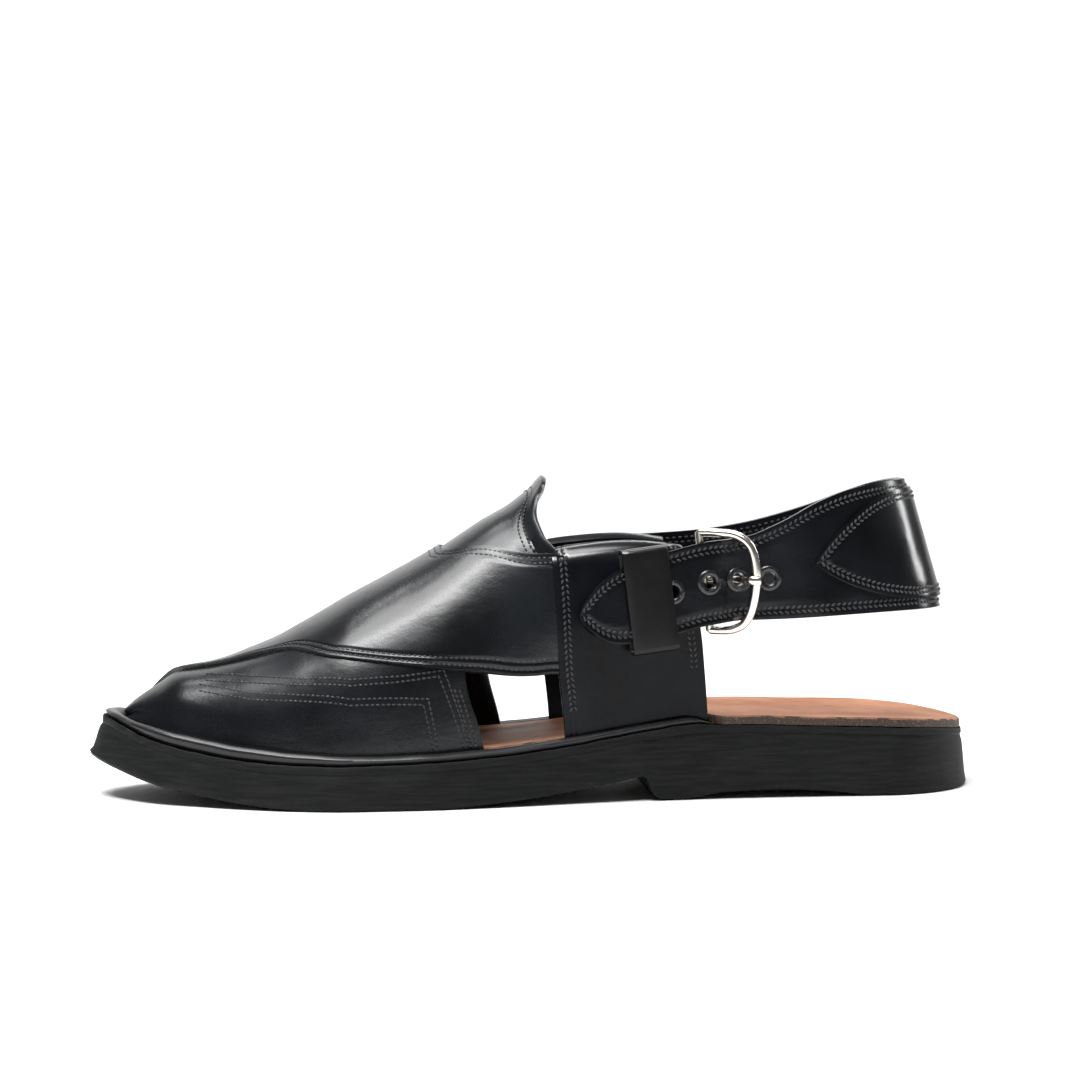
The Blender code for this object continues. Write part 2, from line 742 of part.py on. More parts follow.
def build_outsole(collection):
    """The moulded unit: forepart, arch and heel in one, with a wall that flares out to the floor."""
    breast = [row[0] for row in UNDERSIDE if HEEL_FRONT_LOW < row[0] < HEEL_FRONT_HIGH]
    levels = (
        (lambda along: EDGE_ROUND, lambda x, along: underside(x)),
        (lambda along: 0.0, lambda x, along: underside(x) + EDGE_ROUND),
        (
            lambda along: rim_inset(along) * WALL_KNEE_INSET,
            lambda x, along: mix(underside(x), sole_top(x), WALL_KNEE_HEIGHT),
        ),
        (rim_inset, lambda x, along: sole_top(x) - RIM_LIP),
        (lambda along: rim_inset(along) + RIM_LIP, lambda x, along: sole_top(x)),
    )
    mesh = stack("outsole", plan_stations(breast), levels)
    return add_object("outsole", mesh, material("rubber", (0.03, 0.03, 0.033), 0.7), collection, 30)


def build_insole(collection):
    """Leather board inside the upper in front, and out to the rim of the seat behind it."""
    levels = (
        (insole_inset, lambda x, along: sole_top(x) + GAP),
        (insole_inset, lambda x, along: sole_top(x) + GAP + INSOLE_THICKNESS - INSOLE_BEVEL),
        (
            lambda along: insole_inset(along) + INSOLE_BEVEL,
            lambda x, along: sole_top(x) + GAP + INSOLE_THICKNESS,
        ),
    )
    stations = plan_stations((INSOLE_STEP, INSOLE_STEP + STEP_REACH / 2, INSOLE_STEP + STEP_REACH))
    mesh = stack("insole", stations, levels)
    return add_object("insole", mesh, material("insole_leather", (0.52, 0.29, 0.18), 0.6), collection, 30)


def build_welt(collection):
    """The rounded welt that runs round the upper from waist to waist."""
    shares = plan_stations((WELT_END,))
    lateral = [(share, LATERAL) for share in shares if share >= WELT_END - 1e-9]
    medial = [(share, MEDIAL) for share in reversed(shares) if share >= WELT_END - 1e-9][1:]
    rings = []
    for along, side in lateral + medial:
        start = rim_inset(along) + WELT_EDGE
        ring = []
        for across, up in WELT_PROFILE:
            plan = plan_point(along, side, start + across * welt_width(along))
            height = smooth_value(SOLE["welt"], along) * WELT_HEIGHT
            ring.append(Vector((plan.x, plan.y, sole_top(plan.x) + GAP + up * height)))
        rings.append(ring)
    mesh = loft("welt", rings)
    return add_object("welt", mesh, material("welt_leather", (0.03, 0.03, 0.032), 0.4), collection, 50)


def build_upper(collection, cutters):
    """One hollow leather shell: the two crossed straps, the tongue under them and the two quarters."""
    leather = material("black_leather", (0.02, 0.02, 0.024), 0.3)
    patches = (
        ("under_strap", (UNDER_STRAP, UNDER_INNER, UNDER_OUTER, UNDER_FOOT)),
        ("over_strap", (OVER_STRAP, OVER_INNER, OVER_OUTER, OVER_FOOT)),
        ("lateral_quarter", (QUARTER, QUARTER_INNER, QUARTER_OUTER, QUARTER_FOOT, LATERAL)),
        ("medial_quarter", (QUARTER, QUARTER_INNER, QUARTER_OUTER, QUARTER_FOOT, MEDIAL)),
    )
    tongue = strap_patch("upper", TONGUE, TONGUE_INNER, TONGUE_OUTER, TONGUE_FOOT)
    upper = add_object("upper", tongue, leather, collection)
    for name, shape in patches:
        form = add_object(name + "_form", strap_patch(name + "_form", *shape), leather, cutters)
        form.hide_render = True
        form.display_type = "WIRE"
        boolean(upper, form, "UNION")
    weld = upper.modifiers.new("Weld", "WELD")
    weld.merge_threshold = SEAM_WELD
    return upper


def build_heel_strap(rows, collection, cutters):
    """The strap that goes from the medial quarter round the heel and through the buckle."""
    half = STRAP_THICKNESS / 2
    mesh = loft("heel_strap", [band_ring(row, -half, half) for row in rows])
    leather = material("strap_leather", (0.02, 0.02, 0.024), 0.25)
    strap = add_object("heel_strap", mesh, leather, collection, 50)
    for number, (along, height) in enumerate(EYELETS, start=1):
        centre, out = strap_face(rows, along, height * INSTEP_HEIGHT, 0.0)
        bore = EYELET_BARREL + GAP
        hole = round_bar(f"eyelet_hole_{number}", centre, out, bore, STRAP_THICKNESS * 3, cutters)
        boolean(strap, hole, "DIFFERENCE")
    return strap


def round_bar(name, centre, axis, radius, length, cutters):
    """A round cutter along an axis."""
    shell = bmesh.new()
    turned = Matrix.Translation(centre) @ axis.to_track_quat("Z", "Y").to_matrix().to_4x4()
    bmesh.ops.create_cone(
        shell, cap_ends=True, segments=HOLE_SIDES, radius1=radius, radius2=radius, depth=length, matrix=turned
    )
    mesh = bpy.data.meshes.new(name)
    shell.to_mesh(mesh)
    shell.free()
    made = bpy.data.objects.new(name, mesh)
    made.hide_render = True
    made.display_type = "WIRE"
    cutters.objects.link(made)
    return made


def build_heel_cap(rows, collection):
    """The stitched-on cap round the back of the heel strap, with a point on each side."""
    inner = STRAP_THICKNESS / 2 + GAP
    count = (len(HEEL_CAP) - 1) * CAP_SUBSTEPS
    numbered = [(i, *row) for i, row in enumerate(HEEL_CAP)]
    tables = [column(numbered, ("i", *CAP_COLUMNS), name) for name in CAP_COLUMNS]
    rings = []
    for i in range(count + 1):
        place, low, high = (smooth_value(pairs, i / CAP_SUBSTEPS) for pairs in tables)
        rings.append(band_ring(strap_at(rows, place), inner, inner + CAP_THICKNESS, low, high))
    mesh = loft("heel_cap", rings)
    return add_object("heel_cap", mesh, material("cap_leather", (0.02, 0.02, 0.024), 0.25), collection, 50)


def build_keeper(rows, collection):
    """The leather loop that holds the strap's free end against the quarter."""
    middle, out = strap_face(rows, KEEPER_ALONG, KEEPER_MIDDLE * INSTEP_HEIGHT, 0.0)
    inner_room = STRAP_THICKNESS / 2 + GAP + WALL_CROWN / 2
    outer_room = STRAP_THICKNESS / 2 + 2 * GAP + EYELET_FLANGE
    centre_depth = (outer_room - inner_room) / 2
    half_depth = (outer_room + inner_room) / 2 - KEEPER_CORNER
    half_height = KEEPER_HEIGHT / 2 - KEEPER_THICKNESS - KEEPER_CORNER
    run = Vector((0, 0, 1)).cross(out).normalized()
    tilt = Matrix.Rotation(math.radians(KEEPER_TILT), 3, out)
    run, up = tilt @ run, tilt @ out.cross(run).normalized()
    half_width = KEEPER_WIDTH / 2
    points = []
    inside, outside = KEEPER_CORNER, KEEPER_CORNER + KEEPER_THICKNESS
    corners = ((-half_width, inside), (half_width, inside), (half_width, outside), (-half_width, outside))
    for width, reach in corners:
        for corner, (depth_side, height_side) in enumerate(((1, 1), (-1, 1), (-1, -1), (1, -1))):
            for step in range(CORNER_STEPS + 1):
                angle = (corner + step / CORNER_STEPS) * math.pi / 2
                depth = centre_depth + depth_side * half_depth + math.cos(angle) * reach
                height = height_side * half_height + math.sin(angle) * reach
                points.append(middle + out * depth + up * height + run * width)
    count = len(points) // 4
    faces = []
    for ring in range(4):
        start, after_start = ring * count, (ring + 1) % 4 * count
        for i in range(count):
            after = (i + 1) % count
            faces.append((start + i, start + after, after_start + after, after_start + i))
    mesh = mesh_from("keeper", points, faces)
    return add_object("keeper", mesh, material("keeper_leather", (0.02, 0.02, 0.024), 0.3), collection, 50)


def bar_point(height):
    """The middle of the buckle's bar at a height: behind the quarter's rear edge, in line with its wall."""
    foot, head = FRAME_POINTS[0], FRAME_POINTS[-1]
    share = (height / INSTEP_HEIGHT - foot[1]) / (head[1] - foot[1])
    along = mix(foot[0], head[0], share)
    middle_offset = (QUARTER_INNER + QUARTER_OUTER) / 2
    y = quarter_side(LATERAL, BAR_WALL_ALONG, BAR_MIDDLE * INSTEP_HEIGHT, middle_offset)
    return Vector((place_x(along), y, height))


def turned_out(degrees):
    """A level direction, turned from +X. At 270 degrees it points out of the lateral side."""
    return Vector((math.cos(math.radians(degrees)), math.sin(math.radians(degrees)), 0))


def frame_line():
    """The middle line of the frame's wire: it slants out from the bar, to clear the strap at its far side."""
    line = []
    for along, height in FRAME_POINTS:
        base = bar_point(height * INSTEP_HEIGHT)
        x = place_x(along)
        line.append(Vector((x, base.y - (x - base.x) * FRAME_SLANT, height * INSTEP_HEIGHT)))
    return line


def build_buckle_frame(collection):
    """The bent wire frame of the buckle with its bar, one closed loop."""
    line = frame_line()
    loop = smooth_path(line, FRAME_SUBSTEPS)
    mesh = wire_mesh("buckle_frame", loop, WIRE_RADIUS, collection, closed=True)
    nickel = material("nickel", (0.75, 0.71, 0.64), 0.25, 1.0)
    return add_object("buckle_frame", mesh, nickel, collection, 50)


def build_buckle_prong(rows, collection):
    """The prong: it hooks round the bar, runs behind the strap and comes out of its eyelet onto the frame."""
    along, height = EYELETS[PRONG_EYELET]
    height *= INSTEP_HEIGHT
    hook = WIRE_RADIUS + GAP + PRONG_RADIUS
    half = STRAP_THICKNESS / 2
    points = [bar_point(height) + turned_out(degrees) * hook for degrees in range(240, 89, -30)]
    points.append(strap_face(rows, along + PRONG_LEAD, height, -half - PRONG_DEPTH)[0])
    points.append(strap_face(rows, along + PRONG_SKEW, height, -half - PRONG_RADIUS)[0])
    points.append(strap_face(rows, along - PRONG_RISE, height, half + EYELET_FLANGE)[0])
    far = max(frame_line(), key=lambda point: point.x)
    for degrees in (195, 220, 245, 270):
        points.append(Vector((far.x, far.y, height)) + turned_out(degrees) * (hook + GAP / 2))
    points.append(points[-1] + Vector((PRONG_TIP, 0, 0)))
    mesh = wire_mesh("buckle_prong", smooth_path(points, PRONG_SUBSTEPS), PRONG_RADIUS, collection)
    nickel = material("nickel_prong", (0.75, 0.71, 0.64), 0.3, 1.0)
    return add_object("buckle_prong", mesh, nickel, collection, 50)


def build_buckle_chape(collection, cutters):
    """The leather tab that folds round the bar and grips the quarter on both faces, slotted for the prong."""
    middle = BAR_MIDDLE * INSTEP_HEIGHT
    half = CHAPE_THICKNESS / 2
    fold = WIRE_RADIUS + GAP + half
    rings = []
    for step in range(CHAPE_LEVELS + 1):
        height = middle + CHAPE_HEIGHT * (step / CHAPE_LEVELS - 0.5)
        bar = bar_point(height)
        reach_along = along_of(bar.x - CHAPE_REACH)
        edge_along = along_of(bar.x - CHAPE_SHOULDER)
        line = []
        for along in (reach_along, edge_along):
            y = quarter_side(LATERAL, along, height, QUARTER_OUTER) - GAP - half
            line.append((Vector((place_x(along), y, height)), Vector((0, -1, 0))))
        for degrees in range(-90, 91, 30):
            direction = turned_out(degrees)
            line.append((bar + direction * fold, direction))
        for along in (edge_along, reach_along):
            y = quarter_side(LATERAL, along, height, QUARTER_INNER) + GAP + half
            line.append((Vector((place_x(along), y, height)), Vector((0, 1, 0))))
        outside = [point + direction * half for point, direction in line]
        inside = [point - direction * half for point, direction in reversed(line)]
        rings.append(outside + inside)
    mesh = loft("buckle_chape", rings)
    leather = material("chape_leather", (0.02, 0.02, 0.024), 0.4)
    chape = add_object("buckle_chape", mesh, leather, collection, 50)
    shell = bmesh.new()
    slot = bar_point(EYELETS[PRONG_EYELET][1] * INSTEP_HEIGHT) - Vector((SLOT_SHIFT, 0, 0))
    size = Matrix.Diagonal((SLOT_LENGTH, SLOT_DEPTH, 2 * (PRONG_RADIUS + GAP), 1))
    bmesh.ops.create_cube(shell, size=1, matrix=Matrix.Translation(slot) @ size)
    cutter_mesh = bpy.data.meshes.new("prong_slot")
    shell.to_mesh(cutter_mesh)
    shell.free()
    cutter = bpy.data.objects.new("prong_slot", cutter_mesh)
    cutter.hide_render = True
    cutter.display_type = "WIRE"
    cutters.objects.link(cutter)
    boolean(chape, cutter, "DIFFERENCE")
    return chape


def onto_strap(rows, point, out, offset):
    """Where the line through a point along a direction meets the face at an offset from the strap."""
    guess = point.copy()
    for _ in range(4):
        found = strap_face(rows, along_of(guess.x), guess.z, offset)[0]
        wanted = point + out * (found - point).dot(out)
        guess += wanted - found
    return wanted


def build_eyelet(number, along, height, rows, collection):
    """A punched eyelet: a flange that follows the strap's outer face and a barrel through its hole."""
    stand = STRAP_THICKNESS / 2 + GAP
    centre, out = strap_face(rows, along, height * INSTEP_HEIGHT, stand)
    profile = (
        (EYELET_BORE, -STRAP_THICKNESS - GAP),
        (EYELET_BARREL, -STRAP_THICKNESS - GAP),
        (EYELET_BARREL, 0.0),
        (EYELET_RADIUS, 0.0),
        (EYELET_RADIUS - 0.3 * EYELET_FLANGE, 0.7 * EYELET_FLANGE),
        (EYELET_RADIUS - EYELET_FLANGE, EYELET_FLANGE),
        (EYELET_BORE + EYELET_FLANGE, EYELET_FLANGE),
        (EYELET_BORE, 0.5 * EYELET_FLANGE),
    )
    turned = Matrix.Translation(centre) @ out.to_track_quat("Z", "Y").to_matrix().to_4x4()
    points, faces = [], []
    count = len(profile)
    for i in range(EYELET_SIDES):
        angle = 2 * math.pi * i / EYELET_SIDES
        for radius, height_out in profile:
            point = turned @ Vector((math.cos(angle) * radius, math.sin(angle) * radius, 0))
            if height_out >= 0:
                point = onto_strap(rows, point, out, stand)
            points.append(point + out * height_out)
        after = (i + 1) % EYELET_SIDES
        for k in range(count):
            above = (k + 1) % count
            faces.append((i * count + k, after * count + k, after * count + above, i * count + above))
    name = f"eyelet_{number}"
    enamel = material(name, (0.02, 0.02, 0.022), 0.25)
    return add_object(name, mesh_from(name, points, faces), enamel, collection, 50)


def main():
    for old in list(bpy.data.objects):
        bpy.data.objects.remove(old)
    collection = bpy.data.collections.new(OBJECT_NAME)
    cutters = bpy.data.collections.new("cutters")
    for group in (collection, cutters):
        bpy.context.scene.collection.children.link(group)
    rows = strap_rows()
    build_outsole(collection)
    build_insole(collection)
    build_welt(collection)
    build_upper(collection, cutters)
    build_heel_strap(rows, collection, cutters)
    build_heel_cap(rows, collection)
    build_keeper(rows, collection)
    build_buckle_frame(collection)
    build_buckle_prong(rows, collection)
    build_buckle_chape(collection, cutters)
    for number, (along, height) in enumerate(EYELETS, start=1):
        build_eyelet(number, along, height, rows, collection)


main()
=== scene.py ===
"""Looks of a left peshawari chappal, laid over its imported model.

Metres, +Z up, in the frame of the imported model: the toe points to -X and the buckle side is -Y. Each leather
piece is drawn as a flat pattern of (u, v, ply), and then laid on the last, on the heel strap or on the sole.
The numbers of those three shapes are the ones that the solids were built from.
"""

import logging
import math
from bisect import bisect_right
from dataclasses import dataclass, field
from enum import Enum
from typing import Callable, Sequence

import bpy
from mathutils import Matrix, Vector, noise


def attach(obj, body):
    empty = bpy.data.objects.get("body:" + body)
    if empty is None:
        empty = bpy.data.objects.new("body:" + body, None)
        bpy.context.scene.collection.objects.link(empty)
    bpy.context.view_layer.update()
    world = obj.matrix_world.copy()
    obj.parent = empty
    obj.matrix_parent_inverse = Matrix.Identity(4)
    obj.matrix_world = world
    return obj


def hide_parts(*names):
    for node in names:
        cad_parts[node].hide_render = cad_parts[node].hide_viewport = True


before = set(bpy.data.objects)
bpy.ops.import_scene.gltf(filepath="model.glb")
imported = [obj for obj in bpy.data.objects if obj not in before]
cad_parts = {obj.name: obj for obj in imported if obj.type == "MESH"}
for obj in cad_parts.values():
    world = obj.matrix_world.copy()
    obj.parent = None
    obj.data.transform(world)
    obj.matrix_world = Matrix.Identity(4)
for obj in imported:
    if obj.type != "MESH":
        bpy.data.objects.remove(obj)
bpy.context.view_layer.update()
LOG = logging.getLogger("chappal")

Place = Callable[[float, float, int], Vector]
Rows = Sequence[Sequence[float]]
Colour = tuple[float, float, float]

# How far the quarters' lining and face stand outside the last.
QUARTER_LINING = 0.0016
QUARTER_FACE = 0.0042
# Points of a laid pattern that are closer than this are one.
MERGE_DISTANCE = 0.000004


class Edge(Enum):
    """The edges of a pattern that a seam can follow."""

    FRONT = "front"
    REAR = "rear"
    START = "start"
    END = "end"


def ease(share: float) -> float:
    """A smooth step from 0 to 1."""
    share = min(1.0, max(0.0, share))
    return share * share * (3 - 2 * share)


def mix(start: float, end: float, share: float) -> float:
    """A value between two others."""
    return start + (end - start) * share


def swell(distance: float, reach: float) -> float:
    """A round swelling from 0 over 1 back to 0.

    Args:
        distance: From the edge where it starts.
        reach: From there to its end.

    Returns:
        Its share of the full height.
    """
    if not 0 <= distance <= reach:
        return 0.0
    return math.sqrt(max(0.0, 1 - (2 * distance / reach - 1) ** 2))


def trough(distance: float, half_width: float) -> float:
    """A soft groove that is 1 deep at no distance and 0 outside its half width."""
    return ease(1 - abs(distance) / half_width)


def ripple(point: Vector, size: float, seed: float = 0.0) -> float:
    """Smooth noise from -1 to 1 whose bumps are about the size wide."""
    return noise.noise(point / size + Vector((seed, seed, seed)))


def turned_out(degrees: float) -> Vector:
    """A level direction, turned from +X. At 270 degrees it points out of the lateral side."""
    return Vector((math.cos(math.radians(degrees)), math.sin(math.radians(degrees)), 0))


class Curve:
    """A smooth line through the rows of a table that never overshoots them."""

    def __init__(self, places: Sequence[float], values: Sequence[float]) -> None:
        """Works out the slope at each row.

        Args:
            places: Where each row stands.
            values: Its value there.
        """
        self.places = list(places)
        self.values = list(values)
        steps = [b - a for a, b in zip(places, places[1:])]
        slopes = [(b - a) / step for a, b, step in zip(values, values[1:], steps)]
        self.tangents = [slopes[0]]
        for before, after in zip(slopes, slopes[1:]):
            self.tangents.append(2 * before * after / (before + after) if before * after > 0 else 0.0)
        self.tangents.append(slopes[-1])

    def at(self, place: float) -> float:
        """The value at a place.

        Args:
            place: Where to read the curve; past an end it keeps the end's value.

        Returns:
            The value there.
        """
        if place <= self.places[0]:
            return self.values[0]
        if place >= self.places[-1]:
            return self.values[-1]
        index = bisect_right(self.places, place) - 1
        step = self.places[index + 1] - self.places[index]
        share = (place - self.places[index]) / step
        lift = share * share * (3 - 2 * share)
        bend_in = share * (1 - share) ** 2 * step * self.tangents[index]
        bend_out = share * share * (share - 1) * step * self.tangents[index + 1]
        return mix(self.values[index], self.values[index + 1], lift) + bend_in + bend_out


def curves(columns: Sequence[str], rows: Rows) -> dict[str, Curve]:
    """The named columns of a table as curves over its first column."""
    places = [row[0] for row in rows]
    return {name: Curve(places, [row[i] for row in rows]) for i, name in enumerate(columns) if i}


def numbered(columns: Sequence[str], rows: Rows) -> dict[str, Curve]:
    """The named columns of a table as curves over the number of the row."""
    return curves(("row", *columns), [(i, *row) for i, row in enumerate(rows)])


SOLE_SHAPE = curves(
    ("along", "lateral", "medial", "top", "welt"),
    (
        (0.00, 0.330, 0.330, 0.77, 0.9),
        (0.05, 0.335, 0.335, 0.86, 0.9),
        (0.12, 0.345, 0.340, 0.92, 0.9),
        (0.20, 0.346, 0.325, 0.95, 0.9),
        (0.27, 0.348, 0.303, 0.98, 0.9),
        (0.32, 0.354, 0.290, 0.98, 0.9),
        (0.38, 0.374, 0.286, 0.90, 0.9),
        (0.47, 0.420, 0.320, 0.73, 1.0),
        (0.56, 0.472, 0.392, 0.62, 1.0),
        (0.64, 0.504, 0.448, 0.575, 1.0),
        (0.71, 0.507, 0.474, 0.555, 1.1),
        (0.77, 0.476, 0.466, 0.565, 1.3),
        (0.83, 0.415, 0.420, 0.61, 1.5),
        (0.89, 0.335, 0.345, 0.72, 1.6),
        (0.94, 0.275, 0.285, 0.87, 1.45),
        (0.97, 0.245, 0.255, 1.02, 1.15),
        (1.00, 0.225, 0.235, 1.11, 0.9),
    ),
)
UNDERSIDE_SHAPE = curves(
    ("along", "spring", "arch", "hollow"),
    (
        (0.000, 0.00, 0.00, 0.00),
        (0.125, 0.00, 0.00, 0.00),
        (0.175, 0.00, 0.00, 0.65),
        (0.240, 0.00, 0.00, 1.00),
        (0.295, 0.00, 0.00, 0.80),
        (0.332, 0.00, 0.00, 0.15),
        (0.352, 0.00, 0.00, 0.00),
        (0.366, 0.00, 0.05, 0.00),
        (0.3765, 0.00, 0.24, 0.00),
        (0.3865, 0.00, 1.00, 0.00),
        (0.410, 0.00, 0.86, 0.00),
        (0.458, 0.00, 0.56, 0.00),
        (0.508, 0.00, 0.32, 0.00),
        (0.558, 0.00, 0.14, 0.00),
        (0.610, 0.00, 0.00, 0.00),
        (0.735, 0.00, 0.00, 0.00),
        (0.770, 0.02, 0.00, 0.00),
        (0.817, 0.10, 0.00, 0.00),
        (0.868, 0.25, 0.00, 0.00),
        (0.902, 0.38, 0.00, 0.00),
        (0.936, 0.55, 0.00, 0.00),
        (0.966, 0.76, 0.00, 0.00),
        (1.000, 1.00, 0.00, 0.00),
    ),
)
LAST_SHAPE = curves(
    ("along", "ridge", "fullness", "shift", "bulge_lateral", "bulge_medial"),
    (
        (0.30, 1.200, 3.2, 0.02, 0.030, 0.060),
        (0.38, 1.130, 3.0, 0.03, 0.030, 0.060),
        (0.44, 1.055, 2.8, 0.04, 0.022, 0.045),
        (0.482, 0.998, 2.6, 0.04, 0.014, 0.030),
        (0.500, 0.959, 2.5, 0.04, 0.010, 0.022),
        (0.520, 0.915, 2.45, 0.04, 0.006, 0.014),
        (0.550, 0.866, 2.4, 0.04, 0.00, 0.006),
        (0.603, 0.765, 2.35, 0.04, 0.00, 0.00),
        (0.658, 0.677, 2.3, 0.04, 0.00, 0.00),
        (0.712, 0.599, 2.25, 0.03, 0.00, 0.00),
        (0.766, 0.515, 2.2, 0.02, 0.00, 0.00),
        (0.820, 0.445, 2.15, 0.01, 0.00, 0.00),
        (0.870, 0.399, 2.15, 0.00, 0.00, 0.00),
        (0.915, 0.373, 2.1, 0.00, 0.00, 0.00),
        (0.940, 0.332, 2.1, 0.00, 0.00, 0.00),
        (0.960, 0.304, 2.1, 0.00, 0.00, 0.00),
        (0.980, 0.276, 2.1, 0.00, 0.00, 0.00),
        (1.000, 0.247, 2.1, 0.00, 0.00, 0.00),
    ),
)
# The columns of the panels' tables: the share of the length and the turn of each edge.
EDGE_COLUMNS = ("front_along", "front_turn", "rear_along", "rear_turn")
OVER_ROWS = (
    (0.985, 1.00, 0.519, 1.00),
    (0.978, 0.80, 0.533, 0.89),
    (0.965, 0.55, 0.542, 0.78),
    (0.945, 0.32, 0.556, 0.58),
    (0.925, 0.13, 0.577, 0.34),
    (0.900, -0.03, 0.598, 0.08),
    (0.850, -0.12, 0.600, -0.10),
    (0.790, -0.26, 0.585, -0.225),
    (0.735, -0.50, 0.566, -0.29),
    (0.670, -0.645, 0.548, -0.35),
    (0.600, -0.752, 0.524, -0.43),
    (0.545, -0.817, 0.502, -0.50),
    (0.462, -0.895, 0.462, -0.60),
)
UNDER_ROWS = (
    (0.995, -1.00, 0.557, -1.00),
    (0.995, -0.85, 0.565, -0.93),
    (0.995, -0.65, 0.577, -0.82),
    (0.995, -0.40, 0.583, -0.60),
    (0.995, -0.10, 0.592, -0.34),
    (0.995, 0.25, 0.600, -0.08),
    (0.985, 0.60, 0.598, 0.10),
    (0.930, 0.75, 0.585, 0.225),
    (0.800, 0.72, 0.566, 0.29),
    (0.690, 0.72, 0.548, 0.35),
    (0.600, 0.76, 0.524, 0.43),
    (0.545, 0.817, 0.502, 0.50),
    (0.462, 0.895, 0.462, 0.60),
)
# The tongue's lateral half mirrors its medial half.
TONGUE_MEDIAL_ROWS = (
    (0.700, 0.00, 0.478, 0.00),
    (0.700, 0.11, 0.480, 0.125),
    (0.690, 0.20, 0.489, 0.226),
    (0.680, 0.30, 0.4926, 0.322),
    (0.670, 0.42, 0.486, 0.457),
    (0.660, 0.55, 0.472, 0.56),
    (0.640, 0.66, 0.464, 0.66),
)
TONGUE_ROWS = (
    *((front, -turn, rear, -rear_turn) for front, turn, rear, rear_turn in TONGUE_MEDIAL_ROWS[:0:-1]),
    *TONGUE_MEDIAL_ROWS,
)
QUARTER_ROWS = (
    (0.468, 1.000, 0.311, 1.000),
    (0.4715, 0.940, 0.315, 0.955),
    (0.4745, 0.888, 0.3175, 0.920),
    (0.477, 0.800, 0.323, 0.860),
    (0.479, 0.700, 0.329, 0.800),
    (0.481, 0.600, 0.334, 0.740),
    (0.483, 0.503, 0.3385, 0.687),
)
# The strap's low edge and top edge: share of the length, Y in ball widths and height in instep heights. With
# None for Y the strap stands off the quarter's face.
HEEL_STRAP_ROWS = (
    (0.4555, None, 0.590, 0.4555, None, 0.598),
    (0.4490, None, 0.556, 0.4490, None, 0.650),
    (0.4350, None, 0.523, 0.4350, None, 0.698),
    (0.4140, None, 0.505, 0.4140, None, 0.739),
    (0.3800, None, 0.516, 0.3800, None, 0.778),
    (0.3500, None, 0.534, 0.3500, None, 0.802),
    (0.3220, -0.380, 0.556, 0.3220, -0.366, 0.822),
    (0.3068, -0.367, 0.563, 0.3068, -0.358, 0.828),
    (0.2932, -0.347, 0.568, 0.2932, -0.342, 0.831),
    (0.2780, -0.336, 0.572, 0.2780, -0.333, 0.838),
    (0.2610, -0.341, 0.573, 0.2610, -0.334, 0.848),
    (0.2240, -0.350, 0.576, 0.2270, -0.336, 0.892),
    (0.1860, -0.350, 0.581, 0.1930, -0.326, 0.944),
    (0.1490, -0.333, 0.586, 0.1590, -0.297, 0.981),
    (0.1100, -0.296, 0.590, 0.1270, -0.248, 1.000),
    (0.0700, -0.224, 0.591, 0.0990, -0.176, 1.008),
    (0.0430, -0.120, 0.590, 0.0810, -0.090, 1.010),
    (0.0340, 0.000, 0.590, 0.0760, 0.000, 1.010),
    (0.0430, 0.120, 0.590, 0.0810, 0.090, 1.008),
    (0.0700, 0.224, 0.590, 0.0990, 0.176, 0.992),
    (0.1100, 0.292, 0.588, 0.1270, 0.246, 0.960),
    (0.1490, 0.324, 0.585, 0.1590, 0.290, 0.922),
    (0.1860, 0.334, 0.580, 0.1930, 0.312, 0.890),
    (0.2240, 0.334, 0.574, 0.2270, 0.322, 0.864),
    (0.2610, 0.331, 0.568, 0.2610, 0.322, 0.846),
    (0.2950, None, 0.562, 0.2950, None, 0.834),
    (0.3400, None, 0.556, 0.3400, None, 0.826),
    (0.3900, None, 0.556, 0.3900, None, 0.820),
    (0.4250, None, 0.560, 0.4250, None, 0.812),
)
CAP_COLUMNS = ("row", "low", "high")
# Of the cap: how many of the strap's rows away from its middle, and the shares of the strap's height where it
# starts and ends.
CAP_MIDDLE = 17.0
CAP_HALF_ROWS = (
    (0.0, 0.08, 0.93),
    (1.0, 0.08, 0.93),
    (2.0, 0.08, 0.925),
    (3.0, 0.12, 0.88),
    (4.0, 0.22, 0.76),
    (4.7, 0.34, 0.63),
    (5.15, 0.46, 0.50),
)
CAP_ROWS = (
    *((CAP_MIDDLE - away, low, high) for away, low, high in CAP_HALF_ROWS[:0:-1]),
    *((CAP_MIDDLE + away, low, high) for away, low, high in CAP_HALF_ROWS),
)
CAP_SHAPE = numbered(CAP_COLUMNS, CAP_ROWS)
# Share of the length and height in instep heights, along the frame's wire and at each eyelet.
FRAME_ROWS = (
    (0.3105, 0.541),
    (0.2995, 0.540),
    (0.2860, 0.545),
    (0.2740, 0.569),
    (0.2665, 0.625),
    (0.2630, 0.701),
    (0.2645, 0.765),
    (0.2705, 0.815),
    (0.2850, 0.846),
    (0.3070, 0.853),
    (0.3225, 0.853),
)
EYELET_ROWS = ((0.3560, 0.667), (0.3150, 0.696), (0.2810, 0.703), (0.2465, 0.706))


